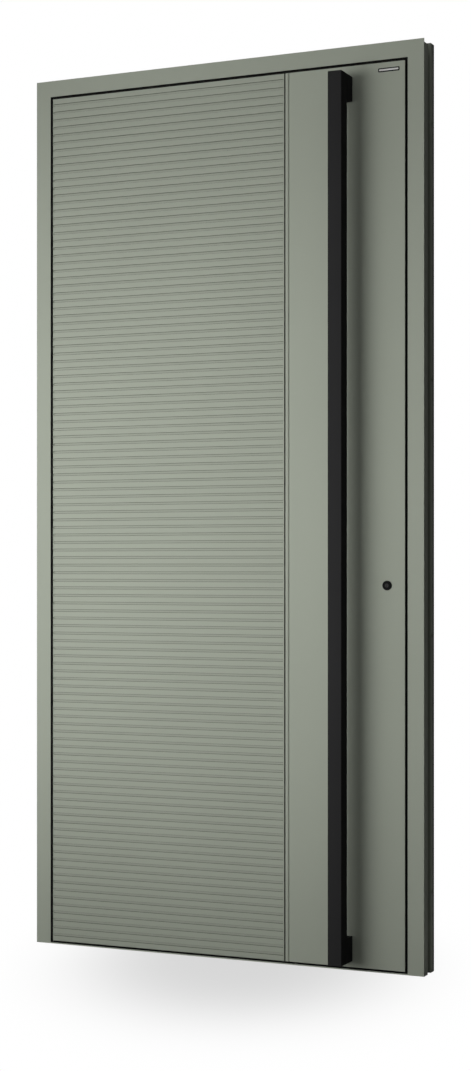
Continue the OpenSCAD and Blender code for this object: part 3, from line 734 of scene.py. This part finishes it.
# ---- Leaf frame
# Two stiles, a top rail and a bottom rail of coated aluminium hold the foam core between the two faces. Each
# is a front part that reaches the shoulder, and an outer and an inner shell with the thermal break between.
leaf_low, leaf_high = np.array(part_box("inner_panel"))
core_low, core_high = np.array(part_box("leaf_core"))
leaf_break_low, leaf_break_high = np.array(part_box("leaf_break"))
REAR_X = leaf_high[0]
REAR_TOP = leaf_high[2]
STILE_X = core_high[0]
CORE_FOOT = core_low[2]
CORE_TOP = core_high[2]
PANEL_BACK = smooth_high[1]
SHOULDER = FACE + SHOULDER_DEEP
LEAF_SHELL_BACK = leaf_break_low[1]
LEAF_BREAK_BACK = leaf_break_high[1]
INNER_FRONT = leaf_low[1]
LEAF_EDGE = 0.0005


def straight_block(low, high):
    """A block between two corners: its outline in plan, carried upwards."""
    outline = oblong(low[0], low[1], high[0], high[1])
    return carried(outline, between(low[2], high[2], outline), point)


def member(x0, x1, z0, z1, front_x0, front_z1):
    """The three parts of a leaf member, by depth: to the shoulder, to the break, and behind the break."""
    patches = straight_block((front_x0, PANEL_BACK, z0), (x1, SHOULDER, front_z1))
    patches += straight_block((x0, SHOULDER, z0), (x1, LEAF_SHELL_BACK, z1))
    return patches + straight_block((x0, LEAF_BREAK_BACK, z0), (x1, INNER_FRONT, z1))


for node, *extent in (
    ("hinge_stile", -REAR_X, -STILE_X, LEAF_FOOT, REAR_TOP, -FRONT_X, FRONT_TOP),
    ("top_rail", -STILE_X, STILE_X, CORE_TOP, REAR_TOP, -STILE_X, FRONT_TOP),
    ("bottom_rail", -STILE_X, STILE_X, LEAF_FOOT, CORE_FOOT, -STILE_X, CORE_FOOT),
):
    build("coated_" + node, member(*extent), sage_coat, "leaf", [node], LEAF_EDGE)
finished("lock_stile", sage_coat)

# ---- Foam core
# The leaf is filled with one block of rigid polyurethane foam, pale and closed-celled.
# It is bonded between the two faces and fits between the stiles and rails.
FOAM = (0.72, 0.68, 0.52)
FINE_CELLS = {"roughness": 0.9, "specular": 0.2, "grain": 700.0, "bump": 0.0003, "tone": 0.04, "cloud": 20.0}

foam = grained("rigid_foam", "core_foam", FOAM, **FINE_CELLS)
finished("leaf_core", foam)

# ---- Ribbed panel
# The wide outdoor panel is a coated aluminium plate, milled with level grooves at an even spacing. Each has a
# flat floor, short sloping walls and round ends, and stops just short of the plate's long edges. Shade is
# painted into the coat: the milled walls are darker, and the floors and the grooves' tips a little darker.
RIB_PITCH = 0.0201
GROOVE_WIDE = 0.0066
GROOVE_DEEP = 0.002
GROOVE_WALL = 0.0008
WALL_PAINTED_SHADE = 0.65
FLOOR_PAINTED_SHADE = 0.1
LEVEL = 0.999
RIB_BORDER = 0.001
PANEL_ROUND = 0.0008
ROUND_COUNT = 4
WALL_STEPS = 5
END_STEPS = 9

ribbed_low, ribbed_high = np.array(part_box("ribbed_panel"))
panel_tall = FRONT_TOP - LEAF_FOOT
groove_count = int(round((panel_tall + GROOVE_WIDE) / RIB_PITCH)) - 1
groove_step = (panel_tall + GROOVE_WIDE) / (groove_count + 1)
groove_mid = LEAF_FOOT + groove_step * np.arange(1, groove_count + 1) - GROOVE_WIDE / 2
groove_reach = (ribbed_high[0] - ribbed_low[0]) / 2 - RIB_BORDER - GROOVE_WALL


def wrapped(inside, start, end, thick):
    """Samples across a plate, from one back edge over the face to the other: the places, and how deep each
    one lies. The face's edges are quarter circles of PANEL_ROUND."""
    turn = np.linspace(0, np.pi / 2, ROUND_COUNT + 1)
    run = np.concatenate([[0.0], PANEL_ROUND * (1 - np.cos(turn))])
    drop = np.concatenate([[thick], PANEL_ROUND * (1 - np.sin(turn))])
    places = np.concatenate([start + run, inside, (end - run)[::-1]])
    return places, np.concatenate([drop, 0 * inside, drop[::-1]])


def groove_relief(x, z):
    """How deep the milling lies at each place: the distance to the nearest groove's middle line, taken as a
    segment with round ends, and an even slope down the wall."""
    number = np.clip(np.round((z - groove_mid[0]) / groove_step), 0, groove_count - 1).astype(int)
    reach = GROOVE_WIDE / 2
    left, right = ribbed_low[0] + RIB_BORDER + reach, ribbed_high[0] - RIB_BORDER - reach
    beside = x - np.clip(x, left, right)
    return GROOVE_DEEP * np.clip((reach - np.hypot(beside, z - groove_mid[number])) / GROOVE_WALL, 0, 1)


wall_steps = GROOVE_WIDE / 2 - GROOVE_WALL * np.linspace(0.0, 1.0, WALL_STEPS)
cross_groove = np.concatenate([-wall_steps, [0.0], wall_steps[::-1]])
groove_rows = (groove_mid[:, None] + cross_groove).ravel()
rows, row_drop = wrapped(groove_rows, LEAF_FOOT, FRONT_TOP, PANEL_BACK - FACE)
groove_end = RIB_BORDER + GROOVE_WIDE / 2 * (1 - np.cos(np.linspace(0, np.pi / 2, END_STEPS)))
inset = np.concatenate([groove_end, [RIB_BORDER + GROOVE_WIDE]])
columns, column_drop = wrapped(np.concatenate([ribbed_low[0] + inset, (ribbed_high[0] - inset)[::-1]]),
                               ribbed_low[0], ribbed_high[0], PANEL_BACK - FACE)
X, Z = np.meshgrid(columns, rows)
depth = np.maximum(np.maximum(row_drop[:, None], column_drop[None]), groove_relief(X, Z))
plate = point(X, FACE + depth, Z)
rim = np.concatenate([plate[0], plate[1:, -1], plate[-1, -2::-1], plate[-2:0:-1, 0]])
# Painted shade: this coat is darkened on the milled walls, and a little in the floors and at the grooves'
# tips.
groove_shaded_coat = grained("milled_sage_coat", "sage_coat", SAGE, **COAT, shade_attribute="milled", shade_share=WALL_PAINTED_SHADE)
ribbed = build("milled_ribbed_panel", [rows_of(plate), rim[None]], groove_shaded_coat, "leaf", ["ribbed_panel"])
middles = np.array([face.center for face in ribbed.data.polygons])
# The painted shade of each face: full on the milled walls, a small part of it on the floors and at the tips.
fall = groove_relief(middles[:, 0], middles[:, 2]) * (middles[:, 1] < FACE + 2 * GROOVE_DEEP) / GROOVE_DEEP
inner = np.abs(middles[:, 0] - (ribbed_low[0] + ribbed_high[0]) / 2) < groove_reach
painted_groove_shade = np.where((fall > LEVEL) | ~inner, FLOOR_PAINTED_SHADE, 1.0) * (fall > 0)
ribbed.data.attributes.new("milled", "FLOAT", "FACE").data.foreach_set("value", painted_groove_shade)

# ---- Joint strip
# A black strip lies low in the joint between the two outdoor panels, clamped under their edges.
# A thin black lip up each side of the joint covers the panels' edge walls as painted shade.
JOINT_LIP = 0.0005
JOINT_LIP_IN = 0.0009

finished("joint_strip", rubber)
strip_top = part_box("joint_strip")[0][1]
# Painted shade: thin black lips on the joint's edge walls, where shade falls in the joint.
joint_lips = []
for low_x in (ribbed_high[0], smooth_low[0] - JOINT_LIP):
    joint_lips += straight_block((low_x, FACE + JOINT_LIP_IN, LEAF_FOOT),
                                 (low_x + JOINT_LIP, strip_top, FRONT_TOP))
build("joint_lips", joint_lips, rubber, "leaf")

# ---- Smooth panel
# The narrow outdoor panel on the lock side is plain coated plate, with one milled line down its whole length
# near the joint. It is bored for the lock cylinder and carries the pull bar.
LINE_OFF = 0.0085
LINE_WIDE = 0.004
LINE_DEEP = 0.002
LINE_ROUND = 0.0003
CYLINDER_HOLE = 0.0086


def joint_at(name):
    """The place of a joint's axis."""
    return np.array(next(joint["pos_m"] for joint in frame["joints"] if joint["name"] == name))


def facing_out(across, up, out):
    """Places an outline that lies in the door's plane and is carried through the door."""
    return point(across, out, up)


lock_at = joint_at("key_turn")
start = smooth_low[0] + LINE_OFF
edge_x = FRONT_X - PANEL_ROUND
strip = 2 * lock_at[0] - edge_x
line_corners = rounded(
    [[smooth_low[0], FACE], [start, FACE], [start, FACE + LINE_DEEP], [start + LINE_WIDE, FACE + LINE_DEEP],
     [start + LINE_WIDE, FACE], [FRONT_X, FACE], [FRONT_X, PANEL_BACK], [smooth_low[0], PANEL_BACK]],
    [PANEL_ROUND, LINE_ROUND, LINE_ROUND, LINE_ROUND, LINE_ROUND, PANEL_ROUND, 0, 0])
# The arcs of the first five corners are the milled side, and the sixth is the front corner of the lock edge.
milled, corner = np.split(line_corners, [5 * (ROUND_STEPS + 1), 6 * (ROUND_STEPS + 1)])[:2]
smooth_outline = np.concatenate([
    milled, [[strip, FACE]], corner, [[FRONT_X, PANEL_BACK], [edge_x, PANEL_BACK], [strip, PANEL_BACK]],
    [[smooth_low[0], PANEL_BACK]],
])
front_strip = len(milled)
back_strip = front_strip + len(corner) + 2
smooth_travel = between(LEAF_FOOT, FRONT_TOP, smooth_outline)
smooth_patches = carried(smooth_outline, smooth_travel, point, left_out=(front_strip, back_strip))


def bored(low, high, bottom, top, near, far):
    """Both faces of a panel, at near and far, split round the lock cylinder's bore, and the bore's wall."""
    hole = half_round(CYLINDER_HOLE)
    patches = lining(lock_at[0], lock_at[2], hole, near, far, facing_out)
    for level in (near, far):
        patches += pierced(low, high, bottom, top, [(lock_at[2], hole)], facing_out, level)
    return patches


smooth_patches += bored(strip, edge_x, LEAF_FOOT, FRONT_TOP, FACE, PANEL_BACK)
build("milled_smooth_panel", smooth_patches, sage_coat, "leaf", ["smooth_panel"])

# ---- Indoor panel
# The indoor face is one plain coated plate over the whole leaf, bored for the lock cylinder.
# It is bonded to the core and lies flush with the covers of the frame.
inner_edge = REAR_X - PANEL_ROUND
inner_strip = 2 * lock_at[0] - inner_edge
inner_corners = rounded([[REAR_X, BACK], [-REAR_X, BACK], [-REAR_X, INNER_FRONT], [REAR_X, INNER_FRONT]],
                        [PANEL_ROUND, PANEL_ROUND, 0, 0])
lock_corner, hinge_corner = np.split(inner_corners, 4)[:2]
inner_outline = np.concatenate([
    [[-REAR_X, INNER_FRONT], [inner_strip, INNER_FRONT], [inner_edge, INNER_FRONT], [REAR_X, INNER_FRONT]],
    lock_corner, [[inner_strip, BACK]], hinge_corner,
])
inner_travel = between(LEAF_FOOT, REAR_TOP, inner_outline)
inner_patches = carried(inner_outline, inner_travel, point, left_out=(1, 3 + len(lock_corner)))
inner_patches += bored(inner_strip, inner_edge, LEAF_FOOT, REAR_TOP, INNER_FRONT, BACK)
build("coated_inner_panel", inner_patches, sage_coat, "leaf", ["inner_panel"])

# ---- Drop seal
# A black seal of brush and rubber runs along the leaf's foot, just clear of the threshold.
# It is held in a channel in the underside of the bottom rail.
finished("drop_seal", rubber)

# ---- Pull handle
# The long pull bar is a rectangular aluminium tube with capped ends, powder-coated black.
# It stands on two short blocks of the same width, bolted through the leaf from behind.
BAR_ROUND = 0.0014
BAR_END = 0.0009
STANDOFF_ROUND = 0.0014
BLACK = (0.0285, 0.0285, 0.029)

black_coat = grained("black_powder_coat", "black_coat", BLACK, **BLACK_COAT)


def drawn_in(outline, inset):
    """An outline (n, 2) moved inwards by each inset of (k): every point goes along the normal of the line
    between its two neighbours. The result is (k, n, 2)."""
    ahead = np.roll(outline, -1, axis=0) - np.roll(outline, 1, axis=0)
    area = np.sum(outline[:, 0] * np.roll(outline[:, 1], -1) - outline[:, 1] * np.roll(outline[:, 0], -1))
    normal = np.stack([ahead[:, 1], -ahead[:, 0]], axis=1) * np.sign(area)
    normal /= np.linalg.norm(ahead, axis=1)[:, None]
    return outline[None] - np.asarray(inset)[:, None, None] * normal[None]


def soft_prism(outline, start, end, soft, place):
    """A rounded outline carried from start to end, with quarter-circle edges of radius soft[0] at the start
    and soft[1] at the end: there the outline is drawn in by radius times one less the cosine of the
    turn."""
    turn = np.linspace(np.pi / 2, 0, ROUND_COUNT + 1)
    way = np.sign(end - start)
    back_turn = turn[::-1]
    inset = np.concatenate([soft[0] * (1 - np.cos(turn)), soft[1] * (1 - np.cos(back_turn))])
    along = np.concatenate([start + way * soft[0] * (1 - np.sin(turn)),
                            end - way * soft[1] * (1 - np.sin(back_turn))])
    across = drawn_in(outline, inset)
    return capped(place(across[..., 0], across[..., 1], along[:, None]))


def rounded_box(low, high, radius):
    """A rectangle's outline from its low corner to its high corner, with round corners."""
    return rounded(oblong(low[0], low[1], high[0], high[1]), radius)


bar_low, bar_high = np.array(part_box("handle_bar"))
build("black_pull_bar", soft_prism(rounded_box(bar_low[:2], bar_high[:2], BAR_ROUND), bar_low[2], bar_high[2],
                                   (BAR_END, BAR_END), point), black_coat, "leaf", ["handle_bar"])
for name in ("upper_standoff", "lower_standoff"):
    block_low, block_high = np.array(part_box(name))
    block = rounded_box(block_low[[0, 2]], block_high[[0, 2]], STANDOFF_ROUND)
    build("black_" + name, soft_prism(block, block_high[1], block_low[1], (0.0, 0.0), facing_out),
          black_coat, "leaf", [name])

# ---- Blank plate
# A small plate sits near the leaf's top corner: a pale anodised face on a black coated base.
# It is bonded on, and it bears no mark.
PLATE_ROUND = 0.0022
PLATE_SOFT = 0.0003
FACE_ROUND = 0.0008
ANODISED = (0.66, 0.66, 0.64)
SATIN = {"roughness": 0.4, "specular": 0.3, "grain": 1100.0, "bump": 0.00001, "tone": 0.02, "cloud": 30.0}

anodised = grained("pale_anodised_plate", "plate_metal", ANODISED, **SATIN)
for name, node, radius, finish in (("plate_back", "plate_base", PLATE_ROUND, black_coat),
                                   ("plate_front", "plate_face", FACE_ROUND, anodised)):
    low, high = np.array(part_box(node))
    build(name, soft_prism(rounded_box(low[[0, 2]], high[[0, 2]], radius), high[1], low[1], (0.0, PLATE_SOFT),
                           facing_out), finish, "leaf", [node])

# ---- Lock cylinder
# A round cylinder goes through the leaf, with a black collar outdoors and a black rosette indoors.
# The key turns its plug, which is black nickel plated.
TURN_STEPS = 64
RING_SOFT = 0.0008
CYLINDER_SOFT = 0.0003
BORE = 0.00505
BORE_DEEP = 0.009
PLUG_AIR = 0.0005
KEYHOLE_WIDE = 0.0016
KEYHOLE_TALL = 0.007
KEYHOLE_DEEP = 0.004
BLACK_NICKEL = (0.045, 0.045, 0.044)
PLATED = {"roughness": 0.42, "specular": 0.02, "grain": 1400.0, "bump": 0.00001, "tone": 0.05, "cloud": 8.0}

black_nickel = grained("black_nickel", "lock_steel", BLACK_NICKEL, **PLATED)


def turned(profile, centre, upright=False, closed=False):
    """A profile of (radius, place along the axis) turned once round an axis through centre: level, through
    the door, or upright. closed joins its last point to its first."""
    turn = np.linspace(0, 2 * np.pi, TURN_STEPS, endpoint=False)[None]
    profile = np.asarray(profile, float)
    if closed:
        profile = np.concatenate([profile, profile[:1]])
    radius, along = profile[:, :1], profile[:, 1:]
    x = centre[0] + radius * np.cos(turn)
    aside = radius * np.sin(turn)
    grid = point(x, centre[1] + aside, along) if upright else point(x, along, centre[2] + aside)
    return [rows_of(grid, closed=True)]


def shoulder(radius, level, soft, way):
    """The rounded outer corner of a turned part: a quarter circle from its side to its face at level. way
    is the direction along the axis in which the face looks."""
    turn = np.linspace(0, np.pi / 2, ROUND_COUNT + 1)
    return np.stack([radius - soft * (1 - np.cos(turn)), level - way * soft * (1 - np.sin(turn))], axis=1)


def rosette(hole, radius, foot, face, soft, centre):
    """A turned ring round the axis, from foot to face, with its outer edge rounded at the face."""
    edge = shoulder(radius, face, soft, np.sign(face - foot))
    return turned(np.concatenate([[[hole, foot], [radius, foot]], edge, [[hole, face]]]), centre, closed=True)


ring_low, ring_high = np.array(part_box("outer_ring"))
ring_r = (ring_high[0] - ring_low[0]) / 2
build("black_collar", rosette(CYLINDER_HOLE, ring_r, ring_high[1], ring_low[1], RING_SOFT, lock_at),
      cover_coat, "leaf", ["outer_ring"])

body_low, body_high = np.array(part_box("cylinder_body"))
body_r = (body_high[0] - body_low[0]) / 2
build("cylinder_case", turned(np.concatenate([
    [[0, body_low[1] + BORE_DEEP], [BORE, body_low[1] + BORE_DEEP], [BORE, body_low[1]]],
    shoulder(body_r, body_low[1], CYLINDER_SOFT, -1)[::-1],
    shoulder(body_r, body_high[1], CYLINDER_SOFT, 1),
    [[0, body_high[1]]],
]), lock_at), cover_coat, "leaf", ["cylinder_body"])

plug_low, plug_high = np.array(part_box("cylinder_plug"))
plug_r = (plug_high[0] - plug_low[0]) / 2
keyhole = half_square(KEYHOLE_WIDE, KEYHOLE_TALL)
plug_patches = slotted(plug_r, keyhole, KEYHOLE_DEEP, 0.0, PLUG_AIR - BORE_DEEP,
                       lambda aside, up, out: point(lock_at[0] + aside, plug_low[1] - out, lock_at[2] + up))
build("turning_plug", plug_patches, black_nickel, "plug", ["cylinder_plug"])

# ---- Indoor lever and rosettes
# Indoors a black lever turns over a round rosette, and the cylinder has a rosette of its own below it.
# The lever is one bent bar that changes from round at its neck to a flat grip.
ROSETTE_SOFT = 0.002
NECK_AIR = 0.0002
BEND = 0.017
LEVER_TALL = 0.02
LEVER_THICK = 0.012
LEVER_STATIONS = 44
LEVER_END_STEPS = 8
LEVER_SIDES = 40
NECK_SHARE = 0.6
GRIP_SQUARE = 1.2
TIP_LONG = 0.4
TIP_LEFT = 0.55

rosette_low, rosette_high = np.array(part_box("inner_rosette"))
rosette_r = (rosette_high[0] - rosette_low[0]) / 2
lever_low, lever_high = np.array(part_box("inside_lever"))
lever_at = np.array([lock_at[0], lever_low[1], (lever_low[2] + lever_high[2]) / 2])
neck_r = lever_high[0] - lever_at[0]
for name, node, centre, hole in (("cylinder_rosette", "inner_rosette", lock_at, CYLINDER_HOLE),
                                 ("lever_rose", "lever_rosette", lever_at, neck_r + NECK_AIR)):
    build(name, rosette(hole, rosette_r, rosette_low[1], rosette_high[1], ROSETTE_SOFT, centre), black_coat,
          "leaf", [node])

# The lever's middle line goes straight out, round a quarter circle of radius BEND, and straight along the
# leaf. It starts to flatten at NECK_SHARE of the way out. GRIP_SQUARE is how far the grip goes from round to
# square. The tip closes over TIP_LONG of the thickness, down to TIP_LEFT of the section.
out_run = lever_high[1] - LEVER_THICK / 2 - BEND - lever_low[1]
bend_run = BEND * np.pi / 2
arm_run = lever_at[0] - BEND - lever_low[0]
whole_run = out_run + bend_run + arm_run
end_run = LEVER_THICK * TIP_LONG
end_turn = np.linspace(0, np.pi / 2, LEVER_END_STEPS + 1)[1:]
run = np.concatenate([np.linspace(0, whole_run - end_run, LEVER_STATIONS),
                      whole_run - end_run * (1 - np.sin(end_turn))])
bent = np.clip((run - out_run) / BEND, 0, np.pi / 2)
mid_x = lever_at[0] - BEND * (1 - np.cos(bent)) - np.clip(run - out_run - bend_run, 0, None)
mid_y = lever_low[1] + np.minimum(run, out_run) + BEND * np.sin(bent)
flat = np.clip((run - out_run * NECK_SHARE) / (bend_run + out_run * (1 - NECK_SHARE)), 0, 1)
flat = flat * flat * (3 - 2 * flat)
end_fall = np.clip((whole_run - run) / end_run, 0, 1)
round_off = TIP_LEFT + (1 - TIP_LEFT) * np.sqrt(1 - (1 - end_fall) ** 2)
half_tall = (neck_r + (LEVER_TALL / 2 - neck_r) * flat) * round_off
half_thick = (neck_r + (LEVER_THICK / 2 - neck_r) * flat) * round_off
power = 1 / (1 + GRIP_SQUARE * flat)
turn = np.linspace(0, 2 * np.pi, LEVER_SIDES, endpoint=False)[None]
cos_turn, sin_turn = np.cos(turn), np.sin(turn)
thick_way = half_thick[:, None] * np.sign(cos_turn) * np.abs(cos_turn) ** power[:, None]
tall_way = half_tall[:, None] * np.sign(sin_turn) * np.abs(sin_turn) ** power[:, None]
lever_grid = point(mid_x[:, None] + thick_way * np.cos(bent)[:, None],
                   mid_y[:, None] + thick_way * np.sin(bent)[:, None],
                   lever_at[2] + tall_way)
build("black_lever", capped(lever_grid), black_coat, "leaf", ["inside_lever"])

# ---- Face plate and bolts
# A long stainless face plate is let in flush with the leaf's lock edge, with the latch, the dead bolt and two
# hook bolts behind it, all drawn back. Countersunk screws hold it to the stile.
BOLT_AIR = 0.0003
BOLT_ROUND = 0.0008
BOLT_SOFT = 0.0003
PLATE_SCREW_GAP = 0.012
MORE_SCREWS = (0.62, 0.79, 1.35, 1.62)

strip_low, strip_high = np.array(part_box("lock_faceplate"))
openings = [(height, half_square(thick + 2 * BOLT_AIR, tall + 2 * BOLT_AIR))
            for height, tall, thick in (low_hook, dead, latch, high_hook)]


def on_edge(deep, up, out):
    """Places an outline that lies in the leaf's lock edge and is carried across the leaf."""
    return point(out, deep, up)


strip_patches = plate_faces(*strip_low[1:], *strip_high[1:], openings, strip_low[0], strip_high[0], on_edge)
build("steel_face_plate", strip_patches, steel, "leaf", ["lock_faceplate"], PLATE_EDGE)
strip_screws = []
for height in (strip_low[2] + PLATE_SCREW_GAP, *MORE_SCREWS, strip_high[2] - PLATE_SCREW_GAP):
    strip_screws += screw_head(on_edge(MIDDLE_DEEP, height, strip_high[0]), (1, 0, 0), SCREW_HEAD)
build("face_plate_screws", strip_screws, steel, "leaf")
for name, node, bolts in (("steel_latch", "latch_bolt", [latch]), ("steel_dead_bolt", "dead_bolt", [dead]),
                          ("steel_hook_bolts", "hook_bolts", [low_hook, high_hook])):
    bolt_low, bolt_high = np.array(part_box(node))
    bolt_patches = []
    for height, tall, thick in bolts:
        centre, half = np.array([MIDDLE_DEEP, height]), np.array([thick, tall]) / 2
        outline = rounded_box(centre - half, centre + half, BOLT_ROUND)
        bolt_patches += soft_prism(outline, bolt_low[0], bolt_high[0], (0.0, BOLT_SOFT), on_edge)
    build(name, bolt_patches, steel, "leaf", [node])

# ---- Hinges
# Three surface-mounted barrel hinges of black-coated steel carry the leaf indoors. Each has two knuckles on
# the frame, one on the leaf and a steel pin with a domed head; their plates are held by countersunk screws.
HINGE_LONG = 0.11
KNUCKLE_AIR = 0.0005
BARREL_SOFT = 0.0008
WING_THICK = 0.005
WING_ROUND = 0.003
WING_SOFT = 0.001
FRAME_WING_AIR = 0.001
LEAF_WING_AIR = 0.003
LINK_IN = 0.003
LINK_SOFT = 0.0006
HINGE_SCREW = 0.0034
HINGE_SCREW_END = 0.014
PIN_SOFT = 0.0012
DARK_STEEL = (0.11, 0.11, 0.108)
BURNISHED = {**PLATED, "specular": 0.4, "metallic": 0.6}
FRAME_SCREW_AT = (0.5,)
LEAF_SCREW_AT = (0.28, 0.72)
SCREWS_UP = 3

dark_steel = grained("burnished_steel", "lock_steel", DARK_STEEL, **BURNISHED)
hinge_at = joint_at("leaf_hinge")
frame_wing_low, frame_wing_high = np.array(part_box("hinge_frame_wings"))
leaf_wing_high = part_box("hinge_leaf_wings")[1]
pin_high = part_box("hinge_pins")[1]
barrel_r = frame_wing_high[0] - hinge_at[0]
pin_head_r = pin_high[0] - hinge_at[0]
knuckle = HINGE_LONG / 3
hinge_feet = np.array([frame_wing_low[2], hinge_at[2] - HINGE_LONG / 2, frame_wing_high[2] - HINGE_LONG])
frame_parts, leaf_parts, pin_parts, frame_screws, leaf_screws = [], [], [], [], []
for foot in hinge_feet:
    for parts, start, end in ((frame_parts, 0.0, knuckle - KNUCKLE_AIR), (leaf_parts, knuckle, 2 * knuckle),
                              (frame_parts, 2 * knuckle + KNUCKLE_AIR, HINGE_LONG)):
        parts += turned(np.concatenate([
            [[0, foot + start]], shoulder(barrel_r, foot + start, BARREL_SOFT, -1)[::-1],
            shoulder(barrel_r, foot + end, BARREL_SOFT, 1), [[0, foot + end]],
        ]), hinge_at, upright=True)
        side = 1 if parts is leaf_parts else -1
        reach = barrel_r + (LEAF_WING_AIR if side > 0 else FRAME_WING_AIR)
        near, far = sorted((hinge_at[0] + side * LINK_IN, hinge_at[0] + side * (reach + LINK_IN)))
        link = rounded_box((near, BACK), (far, hinge_at[1]), LINK_SOFT)
        parts += soft_prism(link, foot + start, foot + end, (LINK_SOFT / 2, LINK_SOFT / 2), point)
    for parts, low_x, high_x, screws, screw_x in (
        (frame_parts, frame_wing_low[0], hinge_at[0] - barrel_r - FRAME_WING_AIR, frame_screws,
         FRAME_SCREW_AT),
        (leaf_parts, hinge_at[0] + barrel_r + LEAF_WING_AIR, leaf_wing_high[0], leaf_screws, LEAF_SCREW_AT),
    ):
        wing = rounded_box((low_x, foot), (high_x, foot + HINGE_LONG), WING_ROUND)
        parts += soft_prism(wing, BACK, BACK + WING_THICK, (0.0, WING_SOFT), facing_out)
        for share in screw_x:
            for up in np.linspace(foot + HINGE_SCREW_END, foot + HINGE_LONG - HINGE_SCREW_END, SCREWS_UP):
                at = point(low_x + share * (high_x - low_x), BACK + WING_THICK, up)
                screws += screw_head(at, (0, 1, 0), HINGE_SCREW)
    head = pin_high[2] - hinge_feet[-1] - HINGE_LONG
    pin_parts += turned(np.concatenate([
        [[0, foot + HINGE_LONG], [pin_head_r, foot + HINGE_LONG]],
        shoulder(pin_head_r, foot + HINGE_LONG + head, PIN_SOFT, 1), [[0, foot + HINGE_LONG + head]],
    ]), hinge_at, upright=True)
build("black_frame_hinges", frame_parts, black_coat, "frame", ["hinge_frame_wings"])
build("black_leaf_hinges", leaf_parts, black_coat, "leaf", ["hinge_leaf_wings"])
build("hinge_pin_heads", pin_parts, steel, "frame", ["hinge_pins"])
build("frame_hinge_screws", frame_screws, dark_steel, "frame")
build("leaf_hinge_screws", leaf_screws, dark_steel, "leaf")
